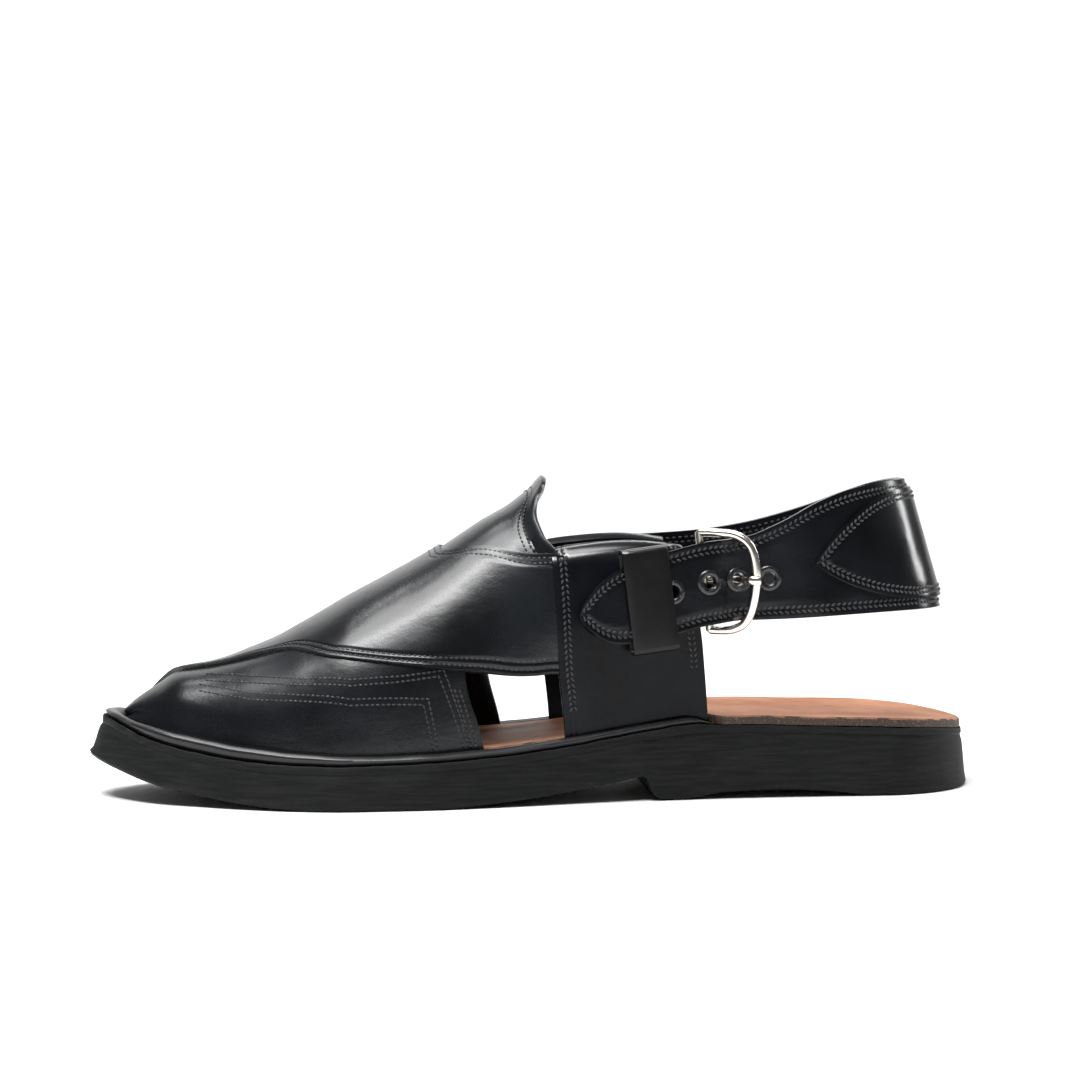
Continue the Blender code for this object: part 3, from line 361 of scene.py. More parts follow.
@dataclass(frozen=True)
class Last:
    """The last and the sole under it, with the sizes that the solids were built from."""

    length: float = 0.295
    ball_width: float = 0.100
    instep_height: float = 0.102
    heel_back: float = 0.022
    seat_height: float = 0.0244
    toe_spring: float = 0.0137
    arch_rise: float = 0.0080
    heel_hollow: float = 0.0026
    toe_swing: float = 0.005
    swing_from: float = 0.7
    heel_round: float = 0.033
    toe_round: float = 0.028
    wall_flare: float = 0.0017
    toe_lean: float = 0.0044
    lean_from: float = 0.9
    gap: float = 0.0003
    welt_edge: float = 0.0008
    welt_full_width: float = 0.0050
    welt_waist_width: float = 0.0032
    welt_end: float = 0.309
    welt_full: float = 0.58
    leather_foot: float = 0.0029
    ridge_offset: float = 1.08
    bulge_start: float = 0.45
    bulge_end: float = 0.30
    angle_step: float = 0.01
    slope_step: float = 0.003

    @staticmethod
    def angle_of(along: float) -> float:
        """The station angle of a share of the length, which is smooth round both ends."""
        return math.acos(1 - 2 * min(1.0, max(0.0, along)))

    def place_x(self, along: float) -> float:
        """X at a share of the length from the back of the heel."""
        return self.heel_back - along * self.length

    def along_of(self, x: float) -> float:
        """The share of the length at X."""
        return (self.heel_back - x) / self.length

    def outline_point(self, angle: float, side: int) -> Vector:
        """A point of the sole's outline in plan.

        Args:
            angle: The station angle; past either end it carries on along the other side.
            side: -1 for lateral, 1 for medial.

        Returns:
            The point in plan.
        """
        if angle < 0:
            angle, side = -angle, -side
        if angle > math.pi:
            angle, side = 2 * math.pi - angle, -side
        along = (1 - math.cos(angle)) / 2
        width = SOLE_SHAPE["lateral" if side < 0 else "medial"].at(along) * self.ball_width
        for reach, share in ((self.heel_round, along), (self.toe_round, 1 - along)):
            distance = share * self.length
            if distance < reach:
                width *= math.sqrt(max(0.0, 1 - (1 - distance / reach) ** 2))
        swing = self.toe_swing * max(0.0, (along - self.swing_from) / (1 - self.swing_from)) ** 2
        return Vector((self.place_x(along), swing + side * width))

    def plan_point(self, along: float, side: int, inset: float) -> Vector:
        """A point inside the outline.

        Args:
            along: Share of the length.
            side: -1 for lateral, 1 for medial.
            inset: Distance from the outline, square to it.

        Returns:
            The point in plan.
        """
        angle = self.angle_of(along)
        step = self.angle_step
        tangent = self.outline_point(angle + step, side) - self.outline_point(angle - step, side)
        tangent.normalize()
        inward = Vector((-tangent.y, tangent.x)) * side
        if along <= 0:
            inward = Vector((-1, 0))
        if along >= 1:
            inward = Vector((1, 0))
        return self.outline_point(angle, side) + inward * inset

    def underside(self, x: float) -> float:
        """Height of the sole's underside above the floor.

        Args:
            x: Where along the shoe.

        Returns:
            The height.
        """
        along = self.along_of(x)
        return (
            UNDERSIDE_SHAPE["spring"].at(along) * self.toe_spring
            + UNDERSIDE_SHAPE["arch"].at(along) * self.arch_rise
            + UNDERSIDE_SHAPE["hollow"].at(along) * self.heel_hollow
        )

    def sole_top(self, x: float) -> float:
        """Height of the sole's top."""
        return SOLE_SHAPE["top"].at(self.along_of(x)) * self.seat_height

    def rim_inset(self, along: float) -> float:
        """How far the top of the sole's wall stands in from its foot."""
        share = ease((along - self.lean_from) / (1 - self.lean_from))
        return mix(self.wall_flare, self.toe_lean, share)

    def welt_width(self, along: float) -> float:
        """Width of the welt, which narrows to the waist."""
        share = ease((along - self.welt_end) / (self.welt_full - self.welt_end))
        return mix(self.welt_waist_width, self.welt_full_width, share)

    def feather_inset(self, along: float) -> float:
        """Where the last's feather line runs, inside the welt and the leather."""
        return self.rim_inset(along) + self.welt_edge + self.welt_width(along) + self.gap + self.leather_foot

    def point(self, along: float, turn: float, offset: float) -> Vector:
        """A point of the upper.

        Args:
            along: Share of the length.
            turn: From -1 at the lateral feather line over 0 at the ridge to 1 at the medial one.
            offset: Distance outside the last.

        Returns:
            The point.
        """
        side = -1 if turn < 0 else 1
        fullness = LAST_SHAPE["fullness"].at(along)
        inset = self.feather_inset(along) - offset
        lateral = self.plan_point(along, -1, inset)
        medial = self.plan_point(along, 1, inset)
        middle = (lateral + medial) / 2
        angle = min(1.0, abs(turn)) * math.pi / 2
        across = math.sin(angle) ** (2 / fullness)
        rise = max(0.0, math.cos(angle)) ** (2 / fullness)
        edge = lateral if side < 0 else medial
        plan = middle + (edge - middle) * across
        feather = self.sole_top(edge.x) + self.gap
        ridge = LAST_SHAPE["ridge"].at(along) * self.instep_height + offset * self.ridge_offset
        bulge = LAST_SHAPE["bulge_lateral" if side < 0 else "bulge_medial"].at(along) * self.ball_width
        plan.y += side * bulge * ease(rise / self.bulge_start) * ease((1 - rise) / self.bulge_end)
        plan.y += LAST_SHAPE["shift"].at(along) * self.ball_width * rise * (1 - across)
        return Vector((plan.x, plan.y, mix(feather, ridge, rise)))

    def outward(self, along: float, turn: float, offset: float) -> Vector:
        """The direction out of the last at a place.

        Args:
            along: Share of the length.
            turn: From the ridge, as in point.
            offset: Distance of the face from the last.

        Returns:
            The direction.
        """
        step = self.slope_step
        run = self.point(along + step, turn, offset) - self.point(along - step, turn, offset)
        climb = self.point(along, turn + step, offset) - self.point(along, turn - step, offset)
        out = run.cross(climb).normalized()
        here = self.point(along, turn, offset)
        return out if out.dot(here - Vector((here.x, 0, self.seat_height))) > 0 else -out

    def turn_at(self, side: int, along: float, height: float, offset: float, halvings: int) -> float:
        """The turn at which a face passes a height.

        Args:
            side: -1 for lateral, 1 for medial.
            along: Share of the length.
            height: Above the floor.
            offset: Distance of the face from the last.
            halvings: How often the search halves what is left.

        Returns:
            The turn.
        """
        low, high = 0.0, 1.0
        for _ in range(halvings):
            turn = (low + high) / 2
            if self.point(along, side * turn, offset).z > height:
                low = turn
            else:
                high = turn
        return side * turn

    def quarter_side(self, side: int, along: float, height: float, offset: float) -> float:
        """Y of the last at a height, for a face at an offset from it."""
        return self.point(along, self.turn_at(side, along, height, offset, 24), offset).y

    def find(self, x: float, height: float, side: int, offset: float) -> tuple[float, float]:
        """The place on the last that shows at X and a height.

        Args:
            x: Where along the shoe.
            height: Above the floor.
            side: -1 for lateral, 1 for medial.
            offset: Distance of the face from the last.

        Returns:
            The share of the length and the turn.
        """
        along = self.along_of(x)
        for _ in range(4):
            turn = self.turn_at(side, along, height, offset, 16)
            along += (self.point(along, turn, offset).x - x) / self.length
        return along, turn


LAST = Last()


class Bench:
    """Blender's modelling tools, used as by hand."""

    @staticmethod
    def clear_selection() -> None:
        """Deselects every object, because a tool acts on all that is selected."""
        if bpy.context.object and bpy.context.object.mode != "OBJECT":
            bpy.ops.object.mode_set(mode="OBJECT")
        bpy.ops.object.select_all(action="DESELECT")

    @classmethod
    def pick(cls, piece: bpy.types.Object) -> None:
        """Selects one piece alone and makes it the active one.

        Args:
            piece: The piece.
        """
        cls.clear_selection()
        piece.select_set(True)
        bpy.context.view_layer.objects.active = piece

    @classmethod
    def _cloth(cls, name: str, across: int, up: int) -> bpy.types.Object:
        """A flat pattern from 0 to 1 both ways.

        Args:
            name: Of the piece.
            across: Cells along u.
            up: Cells along v.

        Returns:
            The pattern.
        """
        cls.clear_selection()
        bpy.ops.mesh.primitive_grid_add(
            x_subdivisions=across, y_subdivisions=up, size=1, location=(0.5, 0.5, 0))
        piece = bpy.context.object
        piece.name = name
        piece.data.name = name
        bpy.ops.object.transform_apply(location=True, rotation=True, scale=True)
        return piece

    @classmethod
    def _lay(cls, piece: bpy.types.Object, across: int, up: int, place: Place) -> None:
        """Lays a flat pattern on its shape, and keeps the pattern's place of each point as a UV map.

        Args:
            piece: The pattern.
            across: How many cells it has along u.
            up: How many along v.
            place: Where each (u, v, ply) goes.
        """
        flat = [vertex.co.copy() for vertex in piece.data.vertices]
        layer = piece.data.uv_layers.active or piece.data.uv_layers.new(name="pattern")
        for loop in piece.data.loops:
            layer.data[loop.index].uv = flat[loop.vertex_index].xy
        for vertex, spot in zip(piece.data.vertices, flat):
            vertex.co = place(round(spot.x * across) / across, round(spot.y * up) / up, round(spot.z))
        cls.pick(piece)
        bpy.ops.object.mode_set(mode="EDIT")
        bpy.ops.mesh.select_all(action="SELECT")
        bpy.ops.mesh.remove_doubles(threshold=MERGE_DISTANCE)
        bpy.ops.mesh.select_all(action="SELECT")
        bpy.ops.mesh.fill_holes(sides=0)
        bpy.ops.mesh.select_all(action="SELECT")
        bpy.ops.mesh.normals_make_consistent(inside=False)
        bpy.ops.object.mode_set(mode="OBJECT")

    @classmethod
    def plied(cls, name: str, across: int, up: int, plies: int, place: Place) -> bpy.types.Object:
        """A closed body between the plies of a pattern.

        Args:
            name: Of the piece.
            across: Cells along u.
            up: Cells along v.
            plies: How many times the pattern is raised by extrusion.
            place: Where each (u, v, ply) goes.

        Returns:
            The piece.
        """
        piece = cls._cloth(name, across, up)
        bpy.ops.object.mode_set(mode="EDIT")
        bpy.ops.mesh.select_all(action="SELECT")
        for _ in range(plies):
            bpy.ops.mesh.extrude_region_move(TRANSFORM_OT_translate={"value": (0, 0, 1)})
        bpy.ops.object.mode_set(mode="OBJECT")
        cls._lay(piece, across, up, place)
        return piece

    @classmethod
    def rolled(cls, name: str, along: int, around: int, place: Place) -> bpy.types.Object:
        """A tube or ring: its pattern is rolled up until its edges meet, and open ends are filled.

        Args:
            name: Of the piece.
            along: Cells along u.
            around: Cells along v.
            place: Where each (u, v, 0) goes.

        Returns:
            The piece.
        """
        piece = cls._cloth(name, along, around)
        cls._lay(piece, along, around, place)
        return piece

    @classmethod
    def tube(cls, name: str, line: Sequence[Vector], radii: Sequence[float], up: Vector, closed: bool = False,
             sides: int = 20, tall: Sequence[float] = ()) -> bpy.types.Object:
        """A round wire along a line.

        Args:
            name: Of the piece.
            line: The middle line.
            radii: The wire's radius at each point of it.
            up: A direction that the line never runs along.
            closed: Whether the line's end meets its start.
            sides: Of the section.
            tall: The section's half height along up, where it isn't round.

        Returns:
            The piece.
        """
        count = len(line)
        cells = count if closed else count - 1

        def place(u: float, v: float, ply: int) -> Vector:
            """A point of the wire's skin.

            Args:
                u: From the line's start to its end.
                v: Round the section.
                ply: Always 0 here.

            Returns:
                The point.
            """
            index = round(u * cells)
            here = index % count
            after = line[(index + 1) % count] if closed else line[min(count - 1, index + 1)]
            before = line[(index - 1) % count] if closed else line[max(0, index - 1)]
            across = (after - before).cross(up).normalized()
            out = across.cross(after - before).normalized()
            angle = v * 2 * math.pi
            height = tall[here] if tall else radii[here]
            return line[here] + across * math.cos(angle) * radii[here] + out * math.sin(angle) * height

        return cls.rolled(name, cells, sides, place)

    @classmethod
    def finish(cls, piece: bpy.types.Object, bevel: float = 0.0, segments: int = 3, limit: float = 50,
               smooth: float = 35) -> bpy.types.Object:
        """Rounds a piece's edges and smooths its faces.

        Args:
            piece: The piece.
            bevel: Width of the rounding.
            segments: Of the rounding.
            limit: Edges that turn by more degrees than this are rounded.
            smooth: Edges that turn by more degrees than this stay crisp.

        Returns:
            The piece.
        """
        cls.pick(piece)
        if bevel:
            rounding = piece.modifiers.new("Rounding", "BEVEL")
            rounding.width = bevel
            rounding.segments = segments
            rounding.limit_method = "ANGLE"
            rounding.angle_limit = math.radians(limit)
            bpy.ops.object.modifier_apply(modifier=rounding.name)
        bpy.ops.object.shade_smooth_by_angle(angle=math.radians(smooth))
        return piece

    @classmethod
    def bore(cls, piece: bpy.types.Object, centre: Vector, axis: Vector, radius: float, depth: float) -> None:
        """Bores a round hole through a piece.

        Args:
            piece: The piece.
            centre: Middle of the hole.
            axis: The way it runs.
            radius: Of the hole.
            depth: Of the drill, half on each side of the centre.
        """
        cls.clear_selection()
        turn = axis.to_track_quat("Z", "Y").to_euler()
        bpy.ops.mesh.primitive_cylinder_add(
            vertices=32, radius=radius, depth=depth, location=centre, rotation=turn)
        cls.cut(piece, bpy.context.object)

    @classmethod
    def cut(cls, piece: bpy.types.Object, tool: bpy.types.Object) -> None:
        """Cuts one shape out of a piece and throws the cutter away.

        Args:
            piece: The piece.
            tool: The cutter.
        """
        cls.pick(piece)
        opening = piece.modifiers.new("Opening", "BOOLEAN")
        opening.operation = "DIFFERENCE"
        opening.solver = "EXACT"
        opening.object = tool
        bpy.ops.object.modifier_apply(modifier=opening.name)
        bpy.data.objects.remove(tool)


class Socket:
    """A shader value that sums can be done on."""

    def __init__(self, paint: "Paint", output: bpy.types.NodeSocket) -> None:
        """Keeps the node tree and the output that gives the value."""
        self.paint = paint
        self.output = output

    def _sum(self, operation: str, first: "Socket | float", second: "Socket | float") -> "Socket":
        """A Math node on two values."""
        return self.paint.node("ShaderNodeMath", {"operation": operation}, {0: first, 1: second})

    def __add__(self, other: "Socket | float") -> "Socket":
        """This plus other."""
        return self._sum("ADD", self, other)

    __radd__ = __add__

    def __sub__(self, other: "Socket | float") -> "Socket":
        """This minus other."""
        return self._sum("SUBTRACT", self, other)

    def __rsub__(self, other: float) -> "Socket":
        """Other minus this."""
        return self._sum("SUBTRACT", other, self)

    def __mul__(self, other: "Socket | float") -> "Socket":
        """This times other."""
        return self._sum("MULTIPLY", self, other)

    __rmul__ = __mul__

    def clipped(self, low: float, high: float) -> "Socket":
        """A smooth step of this value.

        Args:
            low: Where the step starts, at 0.
            high: Where it ends, at 1.

        Returns:
            The step.
        """
        return self.paint.node(
            "ShaderNodeMapRange", {"interpolation_type": "SMOOTHSTEP"},
            {"Value": self, "From Min": low, "From Max": high},
        )


class Paint:
    """A procedural material under construction."""

    def __init__(self, name: str) -> None:
        """Starts a material with its own surface shader.

        Args:
            name: Of the material.
        """
        self.material = bpy.data.materials.new(name)
        self.material.use_nodes = True
        self.tree = self.material.node_tree
        self.shader = self.tree.nodes["Principled BSDF"]

    def node(self, kind: str, settings: dict[str, object], inputs: dict[int | str, object],
             output: int | str = 0) -> Socket:
        """Adds any node.

        Args:
            kind: The node's type.
            settings: Its properties.
            inputs: Values or sockets by the input's name or number.
            output: The output wanted.

        Returns:
            That output.
        """
        made = self.tree.nodes.new(kind)
        for key, value in settings.items():
            setattr(made, key, value)
        for key, value in inputs.items():
            if isinstance(value, Socket):
                self.tree.links.new(value.output, made.inputs[key])
            else:
                made.inputs[key].default_value = value
        return Socket(self, made.outputs[output])

    def place(self) -> Socket:
        """Object coordinates."""
        return self.node("ShaderNodeTexCoord", {}, {}, "Object")

    def stretched(self, scale: Colour) -> Socket:
        """Object coordinates, drawn out along the axes."""
        return self.node("ShaderNodeMapping", {}, {"Vector": self.place(), "Scale": scale})

    def cloud(self, scale: float, detail: float = 3, rough: float = 0.5,
              where: Socket | None = None) -> Socket:
        """Soft noise from 0 to 1, with so many bumps a metre."""
        inputs = {"Vector": where or self.place(), "Scale": scale, "Detail": detail, "Roughness": rough}
        return self.node("ShaderNodeTexNoise", {}, inputs)

    def cells(self, scale: float) -> Socket:
        """Distance to the nearest of scattered points."""
        return self.node("ShaderNodeTexVoronoi", {}, {"Vector": self.place(), "Scale": scale})

    def facing(self) -> Socket:
        """Z of the surface's direction: 1 where it faces up."""
        direction = self.node("ShaderNodeNewGeometry", {}, {}, "Normal")
        return self.node("ShaderNodeSeparateXYZ", {}, {"Vector": direction}, "Z")

    def blend(self, share: Socket, first: "Colour | Socket", second: "Colour | Socket") -> Socket:
        """A colour between two, by a share."""
        ends = [value if isinstance(value, Socket) else (*value, 1) for value in (first, second)]
        return self.node("ShaderNodeMix", {"data_type": "RGBA"}, {0: share, 6: ends[0], 7: ends[1]}, 2)

    def relief(self, height: Socket, depth: float, over: Socket | None = None) -> Socket:
        """A bumped direction from a height.

        Args:
            height: From 0 to 1.
            depth: What a height of 1 stands for.
            over: The direction that this one is laid on.

        Returns:
            The direction.
        """
        inputs = {"Height": height, "Distance": depth, "Strength": 1.0}
        if over:
            inputs["Normal"] = over
        return self.node("ShaderNodeBump", {}, inputs)

    def put(self, **inputs: "Socket | float | Colour") -> bpy.types.Material:
        """Sets or links the surface shader's sockets.

        Args:
            inputs: Values or links by the socket's name, with _ for a space.

        Returns:
            The finished material.
        """
        for key, value in inputs.items():
            socket = self.shader.inputs[key.replace("_", " ")]
            if isinstance(value, Socket):
                self.tree.links.new(value.output, socket)
            elif isinstance(value, tuple) and len(socket.default_value) == 4:
                socket.default_value = (*value, 1)
            else:
                socket.default_value = value
        return self.material


@dataclass(frozen=True)
class PolishedLeather:
    """Black box leather: a smooth waxed face with fine grain, a cloudy tint and polished upper edges."""

    name: str
    dark: Colour = (0.0022, 0.0025, 0.0032)
    light: Colour = (0.0070, 0.0086, 0.0112)
    rough: float = 0.27
    gloss: float = 0.34
    grain: float = 0.000018
    creases: float = 0.00014
    coat: float = 0.12
    edge_polish: float = 0.0

    def material(self) -> bpy.types.Material:
        """Builds the finish.

        Returns:
            The material.
        """
        paint = Paint(self.name)
        patches = paint.cloud(34, 4, 0.55)
        fine = paint.cloud(1500, 3, 0.6)
        pores = paint.cells(1100)
        folds = paint.cloud(120, 3, 0.5, paint.stretched((1, 1, 1.6)))
        colour = paint.blend(patches.clipped(0.30, 0.72), self.dark, self.light)
        rough = self.rough + (patches - 0.5) * 0.14 + (fine - 0.5) * 0.06
        bump = paint.relief(folds, self.creases)
        bump = paint.relief(fine + pores * 0.5, self.grain, bump)
        coat = self.coat
        if self.edge_polish:
            coat = coat + paint.facing().clipped(0.08, 0.55) * self.edge_polish
        return paint.put(Base_Color=colour, Roughness=rough, Normal=bump, Specular_IOR_Level=self.gloss,
                         Coat_Weight=coat, Coat_Roughness=0.2)


@dataclass(frozen=True)
class Rubber:
    """Grey-black moulded rubber with faint streaks along it, scuffs, and cross bars moulded under it."""

    name: str = "outsole_rubber"
    dark: Colour = (0.0040, 0.0044, 0.0048)
    light: Colour = (0.0110, 0.0115, 0.0122)
    scuffed: Colour = (0.07, 0.07, 0.068)
    bar_pitch: float = 0.0065
    bar_depth: float = 0.0009
    band_period: float = 0.314

    def material(self) -> bpy.types.Material:
        """Builds the finish.

        Returns:
            The material.
        """
        paint = Paint(self.name)
        streaks = paint.cloud(60, 6, 0.65, paint.stretched((1, 1, 14)))
        speck = paint.cloud(900, 4, 0.7)
        scuffs = paint.cloud(70, 6, 0.75, paint.stretched((1, 1, 3))).clipped(0.62, 0.74)
        under = 1 - paint.facing().clipped(-0.95, -0.6)
        waves = paint.node(
            "ShaderNodeTexWave", {"wave_type": "BANDS", "bands_direction": "X", "wave_profile": "SIN"},
            {"Vector": paint.place(), "Scale": self.band_period / self.bar_pitch, "Distortion": 0.0}, "Fac",
        )
        bars = waves.clipped(0.35, 0.6) * under
        colour = paint.blend(streaks.clipped(0.35, 0.7), self.dark, self.light)
        colour = paint.blend(scuffs * 0.30, colour, self.scuffed)
        rough = 0.50 + streaks * 0.16 + speck * 0.10
        bump = paint.relief(streaks, 0.00008)
        bump = paint.relief(speck, 0.00008, bump)
        bump = paint.relief(bars, self.bar_depth, bump)
        return paint.put(Base_Color=colour, Roughness=rough, Normal=bump, Specular_IOR_Level=0.16)


@dataclass(frozen=True)
class TanLeather:
    """Tan leather board: mottled on its face, with a rough dark cut edge in which pale fibres show."""

    name: str = "insole_tan"
    deep: Colour = (0.22, 0.070, 0.022)
    pale: Colour = (0.40, 0.170, 0.075)
    fibre: Colour = (0.48, 0.25, 0.14)
    edge: Colour = (0.016, 0.011, 0.009)
    edge_fibre: Colour = (0.24, 0.15, 0.09)

    def material(self) -> bpy.types.Material:
        """Builds the finish.

        Returns:
            The material.
        """
        paint = Paint(self.name)
        clouds = paint.cloud(28, 5, 0.6)
        fibres = paint.cloud(500, 6, 0.7, paint.stretched((0.5, 1.4, 3)))
        specks = paint.cloud(1300, 3, 0.7).clipped(0.50, 0.66)
        cut = 1 - paint.facing().clipped(0.55, 0.9)
        colour = paint.blend(clouds.clipped(0.3, 0.7), self.deep, self.pale)
        colour = paint.blend(fibres.clipped(0.45, 0.75) * 0.35, colour, self.fibre)
        colour = paint.blend(cut * 0.94, colour, self.edge)
        colour = paint.blend(specks * cut * 0.55, colour, self.edge_fibre)
        rough = 0.52 + fibres * 0.2
        bump = paint.relief(fibres, 0.00012)
        bump = paint.relief(specks * cut, 0.0003, bump)
        return paint.put(Base_Color=colour, Roughness=rough, Normal=bump)


@dataclass(frozen=True)
class Nickel:
    """Warm polished nickel wire with fine rub marks and dull spots."""

    name: str = "warm_nickel"
    bright: Colour = (0.80, 0.76, 0.69)
    dull: Colour = (0.46, 0.42, 0.36)

    def material(self) -> bpy.types.Material:
        """Builds the finish.

        Returns:
            The material.
        """
        paint = Paint(self.name)
        rubs = paint.cloud(700, 4, 0.6, paint.stretched((1, 1, 0.25)))
        spots = paint.cloud(260, 4, 0.6).clipped(0.56, 0.75)
        colour = paint.blend(spots * 0.6, self.bright, self.dull)
        rough = 0.14 + rubs * 0.12 + spots * 0.16
        return paint.put(Base_Color=colour, Roughness=rough, Metallic=1.0, Normal=paint.relief(rubs, 0.00003))


@dataclass(frozen=True)
class BlackEnamel:
    """Black lacquered metal, rubbed through to the metal on its crown."""

    name: str = "eyelet_enamel"
    lacquer: Colour = (0.008, 0.008, 0.010)
    metal: Colour = (0.30, 0.29, 0.27)

    def material(self) -> bpy.types.Material:
        """Builds the finish.

        Returns:
            The material.
        """
        paint = Paint(self.name)
        chips = paint.cloud(1600, 4, 0.7).clipped(0.60, 0.70)
        colour = paint.blend(chips, self.lacquer, self.metal)
        rough = 0.20 + paint.cloud(900) * 0.12
        return paint.put(Base_Color=colour, Roughness=rough, Metallic=chips * 0.9, Coat_Weight=0.3,
                         Normal=paint.relief(chips, 0.00003))


@dataclass(frozen=True)
class WaxedThread:
    """Black waxed thread, laid in two twisted strands."""

    name: str = "waxed_thread"
    dark: Colour = (0.012, 0.012, 0.014)
    light: Colour = (0.040, 0.040, 0.044)

    def material(self) -> bpy.types.Material:
        """Builds the finish.

        Returns:
            The material.
        """
        paint = Paint(self.name)
        twist = paint.node("ShaderNodeTexWave", {"bands_direction": "DIAGONAL"},
                           {"Vector": paint.place(), "Scale": 900, "Distortion": 2.0}, "Fac")
        wear = paint.cloud(600, 3)
        colour = paint.blend(wear, self.dark, self.light)
        return paint.put(Base_Color=colour, Roughness=0.28 + wear * 0.2, Normal=paint.relief(twist, 0.00006))


@dataclass(frozen=True)
class PaleFloor:
    """The plain pale floor."""

    name: str = "pale_floor"
    tone: Colour = (0.86, 0.86, 0.86)

    def material(self) -> bpy.types.Material:
        """Builds the finish.

        Returns:
            The material.
        """
        paint = Paint(self.name)
        colour = paint.blend(paint.cloud(3), self.tone, tuple(0.99 * value for value in self.tone))
        return paint.put(Base_Color=colour, Roughness=0.7)


@dataclass(frozen=True)
class Slot:
    """A finish and the record's slot that it stands for."""

    finish: bpy.types.Material
    name: str

    def dress(self, piece: bpy.types.Object, *nodes: str) -> bpy.types.Object:
        """Gives a piece this finish, and hides the solids that it stands for.

        Args:
            piece: The piece.
            nodes: Names of the solids.

        Returns:
            The piece.
        """
        piece.data.materials.clear()
        piece.data.materials.append(self.finish)
        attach(piece, "root")
        if nodes:
            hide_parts(*nodes)
        faces = sum(len(face.vertices) - 2 for face in piece.data.polygons)
        LOG.info("%s: %d triangles", piece.name, faces)
        return piece


@dataclass(frozen=True)
class Seam:
    """A row of stitches: the line it follows with the direction out of the leather at each point."""

    line: list[tuple[Vector, Vector]]
    slant: float = 0.0

    def stitches(self, pitch: float) -> list[Matrix]:
        """Places and directions of the stitches.

        Args:
            pitch: Distance from one stitch to the next.

        Returns:
            A matrix for each: X along it, Z out of the leather.
        """
        found = []
        wanted = pitch / 2
        walked = 0.0
        for (start, out), (end, _) in zip(self.line, self.line[1:]):
            step = (end - start).length
            while step > 1e-9 and walked + step >= wanted:
                here = start.lerp(end, (wanted - walked) / step)
                slanted = Matrix.Rotation(math.radians(self.slant), 3, out)
                run = (end - start).normalized()
                side = (slanted @ out.cross(run).normalized()).normalized()
                turned = Matrix(((slanted @ run).normalized(), side, out)).transposed().to_4x4()
                found.append(Matrix.Translation(here) @ turned)
                wanted += pitch
            walked += step
        return found


@dataclass(frozen=True)
class Thread:
    """Sews rows of stitches from one bead. Slanted rows are sewn in a heavier thread."""

    slot: Slot
    length: float = 0.00140
    width: float = 0.00072
    height: float = 0.00078
    pitch: float = 0.00170
    heavy_pitch: float = 0.0019
    heavy_scale: float = 1.15

    def sew(self, name: str, seams: Sequence[Seam], pitch: float = 0.0,
            scale: float = 1.0) -> bpy.types.Object:
        """Makes one piece of all the stitches of some seams.

        Args:
            name: Of the piece.
            seams: The rows.
            pitch: Distance between stitches, or 0 for the usual one.
            scale: Of the thread.

        Returns:
            The piece.
        """
        Bench.clear_selection()
        bpy.ops.mesh.primitive_uv_sphere_add(segments=6, ring_count=5, radius=0.5)
        bead = bpy.context.object
        bpy.ops.object.mode_set(mode="EDIT")
        bpy.ops.mesh.select_all(action="SELECT")
        bpy.ops.transform.rotate(value=math.pi / 2, orient_axis="Y", center_override=(0, 0, 0))
        bpy.ops.transform.resize(value=(self.length * scale, self.width * scale, self.height * scale))
        bpy.ops.object.mode_set(mode="OBJECT")
        points = [vertex.co.copy() for vertex in bead.data.vertices]
        faces = [tuple(face.vertices) for face in bead.data.polygons]
        row_points, row_faces = [], []
        for seam in seams:
            for matrix in seam.stitches(pitch or self.pitch):
                start = len(row_points)
                row_points.extend(matrix @ point for point in points)
                row_faces.extend(tuple(start + index for index in face) for face in faces)
        mesh = bpy.data.meshes.new(name)
        mesh.from_pydata(row_points, [], row_faces)
        piece = bpy.data.objects.new(name, mesh)
        bpy.context.scene.collection.objects.link(piece)
        bpy.data.objects.remove(bead)
        mesh.shade_smooth()
        return self.slot.dress(piece)

    def sew_heavy(self, name: str, seams: Sequence[Seam]) -> bpy.types.Object:
        """Makes one piece of some seams in the heavier thread."""
        return self.sew(name, seams, self.heavy_pitch, self.heavy_scale)


